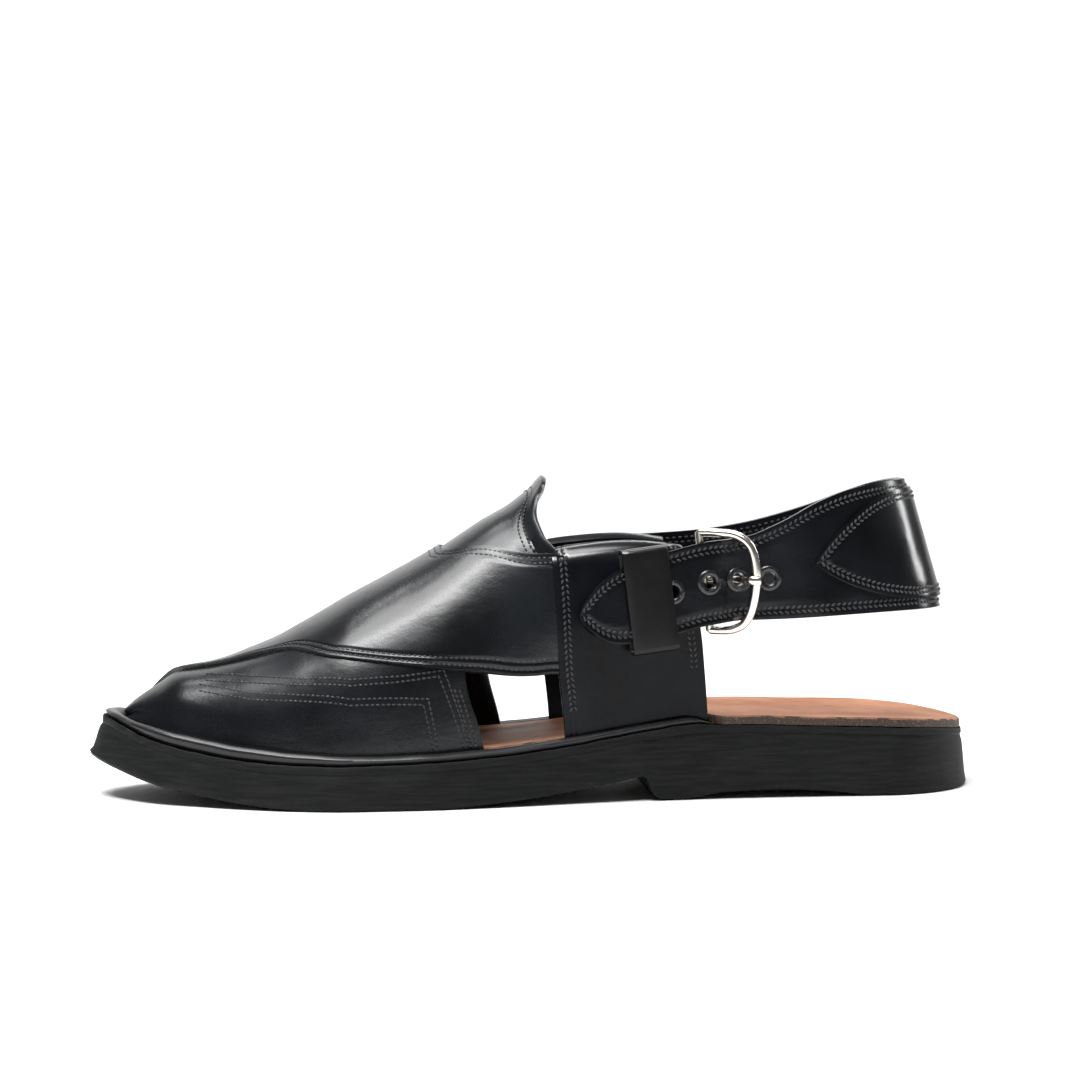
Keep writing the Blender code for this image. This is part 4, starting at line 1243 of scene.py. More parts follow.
@dataclass
class Panel:
    """A panel of the upper, cut between two edges and laid on the last, with a lining and a face."""

    name: str
    rows: Rows
    inner: float
    outer: float
    foot: float
    side: int = 1
    cells_along: int = 150
    cells_across: int = 60
    front_crowding: float = 1.4
    skive_start: float = 0.70
    skive_toe_start: float = 0.40
    skive_reach: float = 0.20
    toe_from: float = 0.82
    rolls: dict[Edge, tuple[float, float]] = field(default_factory=dict)
    leans: dict[Edge, tuple[float, float]] = field(default_factory=dict)
    furrows: dict[Edge, tuple[float, ...]] = field(default_factory=dict)
    furrow_depth: float = 0.00028
    furrow_width: float = 0.0010
    wave: float = 0.00035
    wave_size: float = 0.017
    wave_across: float = 0.06
    calm_from: float = 0.8
    lining_lift: float = 0.35
    bevel: float = 0.0006
    edges: dict[str, Curve] = field(init=False)

    def __post_init__(self) -> None:
        """Draws the pattern's two edges through the table's rows."""
        self.edges = numbered(EDGE_COLUMNS, self.rows)

    def spot(self, u: float, v: float) -> tuple[float, float]:
        """The place on the last of a place on the pattern.

        Args:
            u: From the first row to the last.
            v: From the front edge to the rear edge.

        Returns:
            The share of the length and the turn.
        """
        place = u * (len(self.rows) - 1)
        front_along, front_turn, rear_along, rear_turn = (self.edges[name].at(place) for name in EDGE_COLUMNS)
        return mix(front_along, rear_along, v), self.side * mix(front_turn, rear_turn, v)

    def face_offset(self, along: float, turn: float) -> float:
        """The face's distance from the last, skived where it meets the sole and softly uneven elsewhere.

        Args:
            along: Share of the length.
            turn: From the ridge.

        Returns:
            The distance.
        """
        share = ease((along - self.toe_from) / (1 - self.toe_from))
        start = mix(self.skive_start, self.skive_toe_start, share)
        offset = mix(self.outer, self.foot, ease((abs(turn) - start) / self.skive_reach))
        where = Vector((along * LAST.length, turn * self.wave_across, 0))
        calm = 1 - ease((abs(turn) - self.calm_from) / (1 - self.calm_from))
        return offset + calm * self.wave * ripple(where, self.wave_size, self.outer * 1000)

    def distance(self, edge: Edge, u: float, v: float) -> float:
        """How far a place on the pattern is from one of its edges.

        Args:
            edge: The edge.
            u: From the first row to the last.
            v: From the front edge to the rear edge.

        Returns:
            The distance.
        """
        here = LAST.point(*self.spot(u, v), self.outer)
        at_edge = {Edge.FRONT: (u, 0.0), Edge.REAR: (u, 1.0), Edge.START: (0.0, v), Edge.END: (1.0, v)}[edge]
        return (LAST.point(*self.spot(*at_edge), self.outer) - here).length

    def place(self, u: float, v: float, ply: int) -> Vector:
        """Where a place on the pattern goes.

        Args:
            u: From the first row to the last.
            v: From the front edge to the rear edge, with cells crowded to the front.
            ply: 0 for the lining, 1 for the face.

        Returns:
            The point.
        """
        share = v**self.front_crowding
        along, turn = self.spot(u, share)
        lift = 0.0
        for edge, (reach, height) in self.rolls.items():
            lift += height * swell(self.distance(edge, u, share), reach)
        lean = 0.0
        for edge, (reach, depth) in self.leans.items():
            lean += depth * max(0.0, 1 - self.distance(edge, u, share) / reach) ** 2
        if ply == 0:
            return LAST.point(along, turn, self.inner + lift * self.lining_lift - lean)
        for edge, insets in self.furrows.items():
            distance = self.distance(edge, u, share)
            lift -= self.furrow_depth * sum(trough(distance - inset, self.furrow_width) for inset in insets)
        return LAST.point(along, turn, self.face_offset(along, turn) + lift - lean)

    def build(self, slot: Slot) -> bpy.types.Object:
        """Cuts, lays and dresses the panel in place of the solid upper.

        Args:
            slot: Its finish.

        Returns:
            The piece.
        """
        piece = Bench.plied(self.name, self.cells_along, self.cells_across, 1, self.place)
        Bench.finish(piece, self.bevel)
        return slot.dress(piece, "upper")

    def seam(self, edge: Edge, inset: float, start: float, end: float, slant: float = 0.0) -> Seam:
        """A row of stitches along an edge.

        Args:
            edge: The edge followed, the front one or the rear one.
            inset: Distance from it.
            start: Share of the edge where the row starts.
            end: Share where it ends.
            slant: Turn of each stitch in degrees.

        Returns:
            The seam.
        """
        line = []
        steps = 120
        for i in range(steps + 1):
            u = mix(start, end, i / steps)
            front, rear = (LAST.point(*self.spot(u, v), self.outer) for v in (0.0, 1.0))
            share = inset / max((rear - front).length, 0.001)
            v = 0.0 + share if edge is Edge.FRONT else 1.0 - share
            point = self.place(u, max(0.0, v) ** (1 / self.front_crowding), 1)
            line.append((point, LAST.outward(*self.spot(u, v), self.outer)))
        return Seam(line, slant)

    def stitch_at(self, along: float, turn: float) -> tuple[Vector, Vector]:
        """A stitch's place on the face, and the direction out of it."""
        offset = self.face_offset(along, turn)
        return LAST.point(along, turn, offset), LAST.outward(along, turn, offset)

    def seam_through(self, marks: Sequence[tuple[float, float]], side: int) -> Seam:
        """A row of stitches through marks seen from the side.

        Args:
            marks: X and height of each mark, in millimetres.
            side: -1 for lateral, 1 for medial.

        Returns:
            The seam.
        """
        spots = [Vector(LAST.find(x / 1000, height / 1000, side, self.outer)) for x, height in marks]
        line = []
        steps = 10
        for before, after in zip(spots, spots[1:]):
            line.extend(self.stitch_at(*before.lerp(after, i / steps)) for i in range(steps))
        line.append(self.stitch_at(*spots[-1]))
        return Seam(line)


@dataclass
class Upper:
    """The crossed straps, the tongue under them and the two quarters, with their seams."""

    leather: Slot
    quarter_leather: Slot
    thread: Thread
    tongue: Panel = field(default_factory=lambda: Panel(
        "tongue", TONGUE_ROWS, -0.0006, 0.0018, 0.0018, rolls={Edge.REAR: (0.0042, 0.0017)},
        furrows={Edge.REAR: (0.0050, 0.0068)}, bevel=0.0007))
    under: Panel = field(default_factory=lambda: Panel(
        "under_strap", UNDER_ROWS, 0.0002, 0.0025, 0.0016, furrows={Edge.REAR: (0.0016, 0.0036)}))
    over: Panel = field(default_factory=lambda: Panel(
        "over_strap", OVER_ROWS, 0.0010, 0.0036, 0.0023,
        furrows={Edge.FRONT: (0.0016, 0.0040), Edge.REAR: (0.0016, 0.0036)}))
    quarters: tuple[Panel, Panel] = field(default_factory=lambda: tuple(
        Panel(name, QUARTER_ROWS, QUARTER_LINING, QUARTER_FACE, LAST.leather_foot, side, 70, 60,
              leans={Edge.END: (0.0100, 0.0036)},
              furrows={Edge.FRONT: (0.0026, 0.0042), Edge.REAR: (0.0026, 0.0042)}, wave=0.0002)
        for name, side in (("lateral_quarter", -1), ("medial_quarter", 1))))
    quarter_slant: float = 32
    wing_rows: tuple[tuple[float, float], ...] = ((0.0, 0.0), (-1.9, 1.6))

    def build(self) -> None:
        """Builds the panels and sews them."""
        for panel in (self.tongue, self.under, self.over):
            panel.build(self.leather)
        for panel in self.quarters:
            panel.build(self.quarter_leather)
        self.sew_edges()
        self.sew_lateral_wing()
        self.sew_medial_wing()
        self.sew_quarters()

    @staticmethod
    def rows_in(panel: Panel, edge: Edge, start: float, end: float, slant: float = 0.0) -> list[Seam]:
        """The two rows of stitches in the furrows along an edge.

        Args:
            panel: The panel.
            edge: Its edge.
            start: Share of the edge where they start.
            end: Share where they end.
            slant: Turn of the first row's stitches in degrees; the second row's turn the other way.

        Returns:
            The rows.
        """
        return [panel.seam(edge, inset, start, end, turn)
                for inset, turn in zip(panel.furrows[edge], (slant, -slant))]

    def sew_edges(self) -> None:
        """Sews the double rows along the edges of the straps and the tongue."""
        over = self.rows_in(self.over, Edge.FRONT, 0.40, 0.99)
        over += self.rows_in(self.over, Edge.REAR, 0.02, 0.98)
        self.thread.sew("over_strap_stitches", over)
        self.thread.sew("under_strap_stitches", self.rows_in(self.under, Edge.REAR, 0.52, 0.98))
        self.thread.sew("throat_stitches", self.rows_in(self.tongue, Edge.REAR, 0.05, 0.95))

    def sew_lateral_wing(self) -> None:
        """Sews the three double rows across the lateral wing, from the toe and down to the window."""
        seams = []
        for lift, reach in self.wing_rows:
            upper = ((-234, 41 + lift), (-219, 41 + lift), (-203, 41 + lift), (-187, 41 + lift),
                     (-171 - reach, 42 + lift), (-157 - reach, 44 + lift), (-149 - reach, 18.5))
            lower = ((-236, 38 + lift), (-219, 36 + lift), (-203, 36 + lift), (-187, 35 + lift),
                     (-162 - reach, 35 + lift), (-159 - reach, 18.5))
            rear = ((-152 - reach, 38), (-149.5 - reach, 30), (-146.5 - reach, 18.5))
            seams += [self.under.seam_through(line, -1) for line in (upper, lower, rear)]
        self.thread.sew("lateral_wing_stitches", seams)

    def sew_medial_wing(self) -> None:
        """Sews the double row across the medial wing."""
        seams = []
        for lift, reach in self.wing_rows:
            upper = ((-234, 41 + lift), (-203, 43 + lift), (-171 - reach, 46 + lift),
                     (-146 - reach, 49 + lift), (-138 - reach, 20))
            seams.append(self.over.seam_through(upper, 1))
        self.thread.sew("medial_wing_stitches", seams)

    def sew_quarters(self) -> None:
        """Sews the slanted double rows along the front and rear edges of the quarters."""
        for panel in self.quarters:
            slant = self.quarter_slant * panel.side
            rows = (self.rows_in(panel, Edge.FRONT, 0.10, 0.955, slant)
                    + self.rows_in(panel, Edge.REAR, 0.16, 0.96, slant))
            self.thread.sew_heavy(panel.name + "_stitches", rows)


@dataclass
class Sole:
    """The moulded unit, the tan board on it and the welt round the upper."""

    rubber: Slot
    tan: Slot
    welt_leather: Slot
    edge_round: float = 0.0012
    lip_height: float = 0.0007
    lip_width: float = 0.0006
    groove_depth: float = 0.0009
    insole_thickness: float = 0.0028
    insole_step: float = 0.300
    step_reach: float = 0.0075
    insole_edge: float = 0.0004
    insole_round: float = 0.0005
    dish: float = 0.0007
    pressed_line: float = 0.0003
    welt_height: float = 0.0031
    wall_plies: range = range(3, 8)
    rim_plies: range = range(8, 13)

    def _lip(self, along: float) -> float:
        """How high the rim's lip stands, only where the welt runs."""
        return self.lip_height * ease((along - LAST.welt_end + 0.01) / 0.03)

    def _wall(self, along: float) -> list[tuple[float, float, float]]:
        """The levels of the sole's wall, from the underside up and over the lip.

        Args:
            along: Share of the length.

        Returns:
            Each level's inset, its share of the way from the underside to the top, and its rise above that.
        """
        rim, lip, edge = LAST.rim_inset(along), self._lip(along), self.edge_round
        return [
            (edge, 0, 0),
            (edge * 0.3, 0, edge * 0.3),
            (0.0, 0, edge),
            (rim * 0.25, 0.2, 0),
            (rim * 0.45, 0.4, 0),
            (rim * 0.62, 0.6, 0),
            (rim * 0.8, 0.76, 0),
            (rim * 0.95 + 0.0003, 0.86, 0),
            (rim + 0.0004, 1, -0.0024),
            (rim - 0.0001, 1, -0.0016),
            (rim, 1, lip - 0.0004),
            (rim + self.lip_width * 0.5, 1, lip),
            (rim + self.lip_width, 1, lip - 0.0003),
            (rim + self.lip_width + 0.0005, 1, -self.groove_depth),
            (rim + self.lip_width + 0.0030, 1, 0),
        ]

    def outsole_place(self, u: float, v: float, ply: int) -> Vector:
        """A place of the outsole, softly uneven on its wall and its rim.

        Args:
            u: From heel to toe.
            v: From the lateral side to the medial side.
            ply: The level of the wall.

        Returns:
            The point.
        """
        along = (1 - math.cos(u * math.pi)) / 2
        inset, share, rise = self._wall(along)[ply]
        plan = LAST.plan_point(along, -1, inset).lerp(LAST.plan_point(along, 1, inset), v)
        top, bottom = LAST.sole_top(plan.x), LAST.underside(plan.x)
        point = Vector((plan.x, plan.y, mix(bottom, top, share) + rise))
        if ply in self.rim_plies:
            point.z += 0.00022 * ripple(point, 0.004) + 0.00012 * ripple(point, 0.0013, 5)
        if ply in self.wall_plies:
            point.y += (1 if v < 0.5 else -1) * 0.00018 * ripple(point, 0.008, 9)
        return point

    def insole_place(self, u: float, v: float, ply: int) -> Vector:
        """A place of the insole, with a pressed line near its edge.

        Args:
            u: From heel to toe.
            v: From the lateral side to the medial side.
            ply: 0 for its underside, 1 for the top of its wall, 2 for its face.

        Returns:
            The point.
        """
        along = (1 - math.cos(u * math.pi)) / 2
        share = ease((along - self.insole_step) / self.step_reach)
        inset = mix(LAST.rim_inset(along) + self.insole_edge, LAST.feather_inset(along) + LAST.gap, share)
        if ply == 1:
            inset += 0.0003 * ripple(Vector((along * 0.3, v, 0)), 0.003)
        if ply == 2:
            inset += self.insole_round
        lateral, medial = (LAST.plan_point(along, side, inset) for side in (-1, 1))
        plan = lateral.lerp(medial, v)
        height = (0, self.insole_thickness - self.insole_round, self.insole_thickness)[ply]
        if ply == 2:
            edge = min(v, 1 - v) * (medial - lateral).length
            height -= self.dish * ease((edge - 0.003) / 0.012)
            height -= self.pressed_line * trough(edge - 0.0035, 0.001)
        return Vector((plan.x, plan.y, LAST.sole_top(plan.x) + LAST.gap + height))

    def welt_place(self, u: float, v: float, ply: int) -> Vector:
        """A place of the welt: a roll whose foot is tucked in over the groove.

        Args:
            u: From the lateral waist round the toe to the medial waist.
            v: Round the roll.
            ply: Always 0 here.

        Returns:
            The point.
        """
        first = LAST.angle_of(LAST.welt_end)
        angle = first + u * 2 * (math.pi - first)
        side = -1 if angle <= math.pi else 1
        along = (1 - math.cos(angle)) / 2
        turn = v * 2 * math.pi
        across = 0.5 - 0.5 * math.cos(turn) * (1.0 if math.sin(turn) > 0 else 0.86)
        up = 0.5 + 0.5 * math.sin(turn)
        inset = LAST.rim_inset(along) + LAST.welt_edge + across * LAST.welt_width(along)
        plan = LAST.plan_point(along, side, inset)
        height = SOLE_SHAPE["welt"].at(along) * self.welt_height
        taper = ease(min(u, 1 - u) / 0.02 + 0.25)
        point = Vector((plan.x, plan.y, LAST.sole_top(plan.x) + LAST.gap + up * height * taper))
        point.z += 0.00012 * ripple(point, 0.006, 3) * up
        return point

    def build(self) -> None:
        """Builds and dresses the three pieces."""
        outsole = Bench.plied("outsole_unit", 360, 20, 14, self.outsole_place)
        self.rubber.dress(Bench.finish(outsole, smooth=40), "outsole")
        insole = Bench.plied("insole_board", 240, 40, 2, self.insole_place)
        self.tan.dress(Bench.finish(insole, smooth=40), "insole")
        welt = Bench.rolled("welt_roll", 420, 20, self.welt_place)
        self.welt_leather.dress(Bench.finish(welt, smooth=60), "welt")


@dataclass
class HeelStrap:
    """The strap round the heel, its cap, and the faces that the hardware stands on."""

    leather: Slot
    cap_leather: Slot
    thread: Thread
    thickness: float = 0.0026
    cap_thickness: float = 0.0010
    keeper_thickness: float = 0.0014
    crown: float = 0.0008
    tip_drop: float = 0.0012
    substeps: int = 10
    hole_radius: float = 0.0029
    edge_swell: float = 0.00018
    groove: float = 0.00022
    cap_groove: float = 0.00020
    groove_width: float = 0.0009
    insets: tuple[float, float] = (0.0021, 0.0037)
    cap_insets: tuple[float, float] = (0.0018, 0.0034)
    stitch_slant: float = 30
    lining_pitch: float = 0.0022
    rows: list[tuple[Vector, Vector, Vector]] = field(init=False, default_factory=list)

    def __post_init__(self) -> None:
        """Lays out the strap's middle surface."""
        low_line = smooth_path(self._knots(0), self.substeps)
        top_line = smooth_path(self._knots(3), self.substeps)
        last = len(low_line) - 1
        for i, (low, top) in enumerate(zip(low_line, top_line)):
            before, after = max(0, i - 3), min(last, i + 3)
            run = low_line[after] + top_line[after] - low_line[before] - top_line[before]
            run.z = 0
            self.rows.append((low, top, run.cross(top - low).normalized()))

    def _knots(self, index: int) -> list[Vector]:
        """The strap's low or top points at the table's rows; those on a quarter stand off its face.

        Args:
            index: The column where the low or the top point's three numbers start.

        Returns:
            The points.
        """
        stands = {
            -1: self.thickness / 2 + self.keeper_thickness + 2 * LAST.gap + self.crown,
            1: self.thickness / 2 + LAST.gap + self.crown,
        }
        knots = []
        for row, values in enumerate(HEEL_STRAP_ROWS):
            along, side, height = values[index], values[index + 1], values[index + 2] * LAST.instep_height
            if side is None:
                hand = -1 if row < len(HEEL_STRAP_ROWS) / 2 else 1
                stand = stands[hand] - (self.tip_drop if row == 0 else 0)
                y = LAST.quarter_side(hand, along, height, QUARTER_FACE) + hand * stand
            else:
                y = side * LAST.ball_width
            knots.append(Vector((LAST.place_x(along), y, height)))
        return knots

    def at(self, place: float) -> tuple[Vector, Vector, Vector]:
        """The strap's section at a place.

        Args:
            place: Counted in rows of the table.

        Returns:
            Its low and top point, and the direction out of it.
        """
        index = min(len(self.rows) - 2, int(place * self.substeps))
        share = place * self.substeps - index
        (low_a, top_a, out_a), (low_b, top_b, out_b) = self.rows[index], self.rows[index + 1]
        return low_a.lerp(low_b, share), top_a.lerp(top_b, share), out_a.lerp(out_b, share).normalized()

    def face(self, along: float, height: float, offset: float) -> tuple[Vector, Vector]:
        """A point on the lateral part of the strap and the direction out of it.

        Args:
            along: Share of the shoe's length.
            height: Above the floor.
            offset: From the strap's middle surface.

        Returns:
            The point and the direction.
        """
        near, far = 0.0, len(HEEL_STRAP_ROWS) / 2 - 1
        for _ in range(24):
            place = (near + far) / 2
            low, top, out = self.at(place)
            middle = low.lerp(top, (height - low.z) / (top.z - low.z))
            if middle.x < LAST.place_x(along):
                near = place
            else:
                far = place
        return middle + out * offset, out

    def onto(self, point: Vector, out: Vector, offset: float) -> Vector:
        """Where a line meets the strap's face.

        Args:
            point: A point of the line.
            out: The line's direction.
            offset: From the strap's middle surface.

        Returns:
            The point on the face.
        """
        guess = point.copy()
        wanted = point
        for _ in range(4):
            found = self.face(LAST.along_of(guess.x), guess.z, offset)[0]
            wanted = point + out * (found - point).dot(out)
            guess += wanted - found
        return wanted

    def strap_place(self, u: float, v: float, ply: int) -> Vector:
        """A place of the strap, softly crowned, with grooves where its rows of stitches are pulled down.

        Args:
            u: From the pointed end to the medial quarter.
            v: From the low edge to the top edge.
            ply: 0 for the lining, 1 for the face.

        Returns:
            The point.
        """
        low, top, out = self.at(u * (len(HEEL_STRAP_ROWS) - 1))
        edge = min(v, 1 - v) * (top - low).length
        sunk = sum(trough(edge - inset, self.groove_width) for inset in self.insets)
        shape = self.edge_swell * ease(edge / 0.006) - self.groove * sunk
        point = low.lerp(top, v)
        shape += 0.00016 * ripple(point, 0.012)
        half = self.thickness / 2
        return point + out * ((half + shape) if ply else -(half - 0.0002))

    def cap_place(self, u: float, v: float, ply: int) -> Vector:
        """A place of the cap, on the strap's face.

        Args:
            u: From its lateral point to its medial one.
            v: From its low edge to its top edge.
            ply: 0 for its back, 1 for its face.

        Returns:
            The point.
        """
        row, share_low, share_high = self._cap_row(u)
        low, top, out = self.at(row)
        edge = min(v, 1 - v) * (top - low).length * (share_high - share_low)
        sunk = sum(trough(edge - inset, self.groove_width) for inset in self.cap_insets)
        inner = self.thickness / 2 + LAST.gap
        outer = inner + self.cap_thickness - self.cap_groove * sunk
        outer += 0.00012 * ripple(low.lerp(top, v), 0.010)
        return low.lerp(top, mix(share_low, share_high, v)) + out * (outer if ply else inner)

    def _cap_row(self, u: float) -> tuple[float, float, float]:
        """The strap's row and the shares of its height that the cap covers there."""
        place = u * (len(CAP_ROWS) - 1)
        return tuple(CAP_SHAPE[name].at(place) for name in CAP_COLUMNS)

    def strap_seams(self, inset: float, slant: float, face: int) -> list[Seam]:
        """Rows of stitches inside both edges of the strap.

        Args:
            inset: Distance from the edge.
            slant: Turn of each stitch in degrees.
            face: 1 for the outer face, -1 for the inner one.

        Returns:
            The two seams.
        """
        last, steps = len(HEEL_STRAP_ROWS) - 1, 300
        seams = []
        for from_top in (False, True):
            line = []
            for i in range(1, steps):
                low, top, out = self.at(last * i / steps)
                width = (top - low).length
                if width > 2 * inset + 0.0008:
                    share = inset / width
                    point = low.lerp(top, 1 - share if from_top else share)
                    line.append((point + out * face * (self.thickness / 2 - 0.00005), out * face))
            seams.append(Seam(line, slant if from_top else -slant))
        return seams

    def cap_seams(self, inset: float, slant: float) -> list[Seam]:
        """Rows of stitches inside the lower and upper edge of the cap.

        Args:
            inset: Distance from the edge.
            slant: Turn of each stitch in degrees.

        Returns:
            The two seams.
        """
        seams, steps = [], 160
        offset = self.thickness / 2 + LAST.gap + self.cap_thickness - 0.00004
        for from_top in (False, True):
            line = []
            for i in range(1, steps):
                row, share_low, share_high = self._cap_row(i / steps)
                low, top, out = self.at(row)
                height = (top - low).length
                if (share_high - share_low) * height > 2 * inset + 0.0005:
                    share = share_high - inset / height if from_top else share_low + inset / height
                    line.append((low.lerp(top, share) + out * offset, out))
            seams.append(Seam(line, slant if from_top else -slant))
        return seams

    def build(self) -> None:
        """Builds the strap with its punched holes, the cap and their seams."""
        strap = Bench.plied("heel_strap_leather", 280, 24, 1, self.strap_place)
        Bench.finish(strap, 0.0008)
        for along, height in EYELET_ROWS:
            centre, out = self.face(along, height * LAST.instep_height, 0.0)
            Bench.bore(strap, centre, out, self.hole_radius, self.thickness * 3)
        self.leather.dress(Bench.finish(strap), "heel_strap")
        cap = Bench.plied("heel_cap_leather", 160, 24, 1, self.cap_place)
        self.cap_leather.dress(Bench.finish(cap, 0.0003, 2), "heel_cap")
        slants = (self.stitch_slant, -self.stitch_slant)
        face, lining, cap_face = [], [], []
        for inset, cap_inset, slant in zip(self.insets, self.cap_insets, slants):
            face += self.strap_seams(inset, slant, 1)
            lining += self.strap_seams(inset, 0, -1)
            cap_face += self.cap_seams(cap_inset, slant)
        self.thread.sew_heavy("heel_strap_stitches", face)
        self.thread.sew("heel_strap_lining_stitches", lining, self.lining_pitch)
        self.thread.sew_heavy("heel_cap_stitches", cap_face)


def smooth_path(points: Sequence[Vector], steps: int) -> list[Vector]:
    """Points along a smooth curve through the given ones.

    Args:
        points: The points it passes through.
        steps: Pieces between two of them.

    Returns:
        The points of the curve.
    """
    last = len(points) - 1
    found = []
    for i in range(last):
        before, start, end, after = (points[min(last, max(0, i + k))] for k in (-1, 0, 1, 2))
        for step in range(steps):
            t = step / steps
            found.append(
                start * 0.5 * (2 - 5 * t * t + 3 * t**3)
                + before * 0.5 * (-t + 2 * t * t - t**3)
                + end * 0.5 * (t + 4 * t * t - 3 * t**3)
                + after * 0.5 * (t**3 - t * t)
            )
    found.append(points[-1].copy())
    return found


@dataclass
class Buckle:
    """The wire frame with its bar, the prong, the leather chape that holds the bar, and the keeper."""

    strap: HeelStrap
    nickel: Slot
    leather: Slot
    keeper_leather: Slot
    wire: float = 0.0014
    prong: float = 0.0009
    prong_head: float = 0.0015
    flange: float = 0.0007
    slant: float = 0.54
    bar_wall: float = 0.335
    bar_middle: float = 0.700
    prong_lead: float = 0.0095
    prong_depth: float = 0.0026
    prong_skew: float = 0.0025
    prong_rise: float = 0.0014
    prong_tip: float = 0.0010
    chape_thickness: float = 0.0010
    chape_height: float = 0.0170
    chape_reach: float = 0.0100
    chape_shoulder: float = 0.0036
    slot_shift: float = 0.0015
    slot_size: tuple[float, float] = (0.0110, 0.0120)
    keeper_belly: float = 0.0003
    keeper_along: float = 0.3815
    keeper_middle: float = 0.642
    keeper_tilt: float = 6.5
    keeper_width: float = 0.0150
    keeper_height: float = 0.0345
    keeper_corner: float = 0.0008

    def bar_point(self, height: float) -> Vector:
        """The middle of the bar at a height: behind the quarter's rear edge, in line with its wall.

        Args:
            height: Above the floor.

        Returns:
            The point.
        """
        foot, head = FRAME_ROWS[0], FRAME_ROWS[-1]
        share = (height / LAST.instep_height - foot[1]) / (head[1] - foot[1])
        wall_middle = (QUARTER_LINING + QUARTER_FACE) / 2
        y = LAST.quarter_side(-1, self.bar_wall, self.bar_middle * LAST.instep_height, wall_middle)
        return Vector((LAST.place_x(mix(foot[0], head[0], share)), y, height))

    def frame_line(self) -> list[Vector]:
        """The middle line of the frame's wire, which slants out from the bar.

        Returns:
            Its points.
        """
        line = []
        for along, share in FRAME_ROWS:
            base = self.bar_point(share * LAST.instep_height)
            x = LAST.place_x(along)
            line.append(Vector((x, base.y - (x - base.x) * self.slant, base.z)))
        return line

    def build_frame(self) -> None:
        """Bends the frame's wire and closes it with its bar."""
        loop = smooth_path(self.frame_line(), 10)
        radii = [self.wire * (1 + 0.03 * ripple(point, 0.004)) for point in loop]
        frame_wire = Bench.tube("buckle_wire", loop, radii, Vector((0.2, 1, 0)), True, 24)
        self.nickel.dress(Bench.finish(frame_wire, smooth=60), "buckle_frame")

    def build_prong(self) -> None:
        """Bends the prong: round the bar, behind the strap, out of the third eyelet and on to the frame."""
        along, share = EYELET_ROWS[2]
        height = share * LAST.instep_height
        hook = self.wire + LAST.gap + self.prong
        half = self.strap.thickness / 2
        line = [self.bar_point(height) + turned_out(degrees) * hook for degrees in range(240, 89, -30)]
        line.append(self.strap.face(along + self.prong_lead, height, -half - self.prong_depth)[0])
        line.append(self.strap.face(along + self.prong_skew, height, -half - self.prong)[0])
        line.append(self.strap.face(along - self.prong_rise, height, half + self.flange)[0])
        far = max(self.frame_line(), key=lambda point: point.x)
        for degrees in (195, 220, 245, 270):
            line.append(Vector((far.x, far.y, height)) + turned_out(degrees) * (hook + LAST.gap / 2))
        line.append(line[-1] + Vector((self.prong_tip, 0, 0)))
        path = smooth_path(line, 6)
        count = len(path)
        tips = [0.35 + 0.65 * ease(min(i, count - 1 - i) / 2) for i in range(count)]
        radii = [self.prong * tip for tip in tips]
        tall = [mix(self.prong, self.prong_head, ease(i / count * 3 - 1.4)) * tip
                for i, tip in enumerate(tips)]
        piece = Bench.tube("prong_wire", path, radii, Vector((0, 0, 1)), sides=16, tall=tall)
        self.nickel.dress(Bench.finish(piece, smooth=60), "buckle_prong")

    def _chape_line(self, height: float) -> list[tuple[Vector, Vector]]:
        """The chape's middle line at a height.

        Args:
            height: Above the floor.

        Returns:
            Its points, each with the direction out of the leather.
        """
        half = self.chape_thickness / 2
        bar = self.bar_point(height)
        edges = [LAST.along_of(bar.x - reach) for reach in (self.chape_reach, self.chape_shoulder)]
        line = []
        for along in edges:
            y = LAST.quarter_side(-1, along, height, QUARTER_FACE) - LAST.gap - half
            line.append((Vector((LAST.place_x(along), y, height)), Vector((0, -1, 0))))
        for degrees in range(-90, 91, 15):
            line.append((bar + turned_out(degrees) * (self.wire + LAST.gap + half), turned_out(degrees)))
        for along in reversed(edges):
            y = LAST.quarter_side(-1, along, height, QUARTER_LINING) + LAST.gap + half
            line.append((Vector((LAST.place_x(along), y, height)), Vector((0, 1, 0))))
        return line

    def build_chape(self) -> None:
        """Folds the chape round the bar and cuts the prong's slot in it."""
        middle = self.bar_middle * LAST.instep_height
        levels = 12
        lines = [self._chape_line(middle + self.chape_height * (i / levels - 0.5)) for i in range(levels + 1)]
        cells = len(lines[0]) - 1

        def place(u: float, v: float, ply: int) -> Vector:
            """A point of the chape at u round the bar and v up, on either side of its middle line."""
            point, out = lines[round(v * levels)][round(u * cells)]
            return point + out * self.chape_thickness * (ply - 0.5)

        chape = Bench.plied("chape_leather", cells, levels, 1, place)
        Bench.finish(chape, 0.00025, 2, 60)
        centre = self.bar_point(EYELET_ROWS[2][1] * LAST.instep_height) - Vector((self.slot_shift, 0, 0))
        Bench.clear_selection()
        slot = (*self.slot_size, 2 * (self.prong + LAST.gap))
        bpy.ops.mesh.primitive_cube_add(size=1, location=centre, scale=slot)
        Bench.cut(chape, bpy.context.object)
        self.leather.dress(Bench.finish(chape), "buckle_chape")

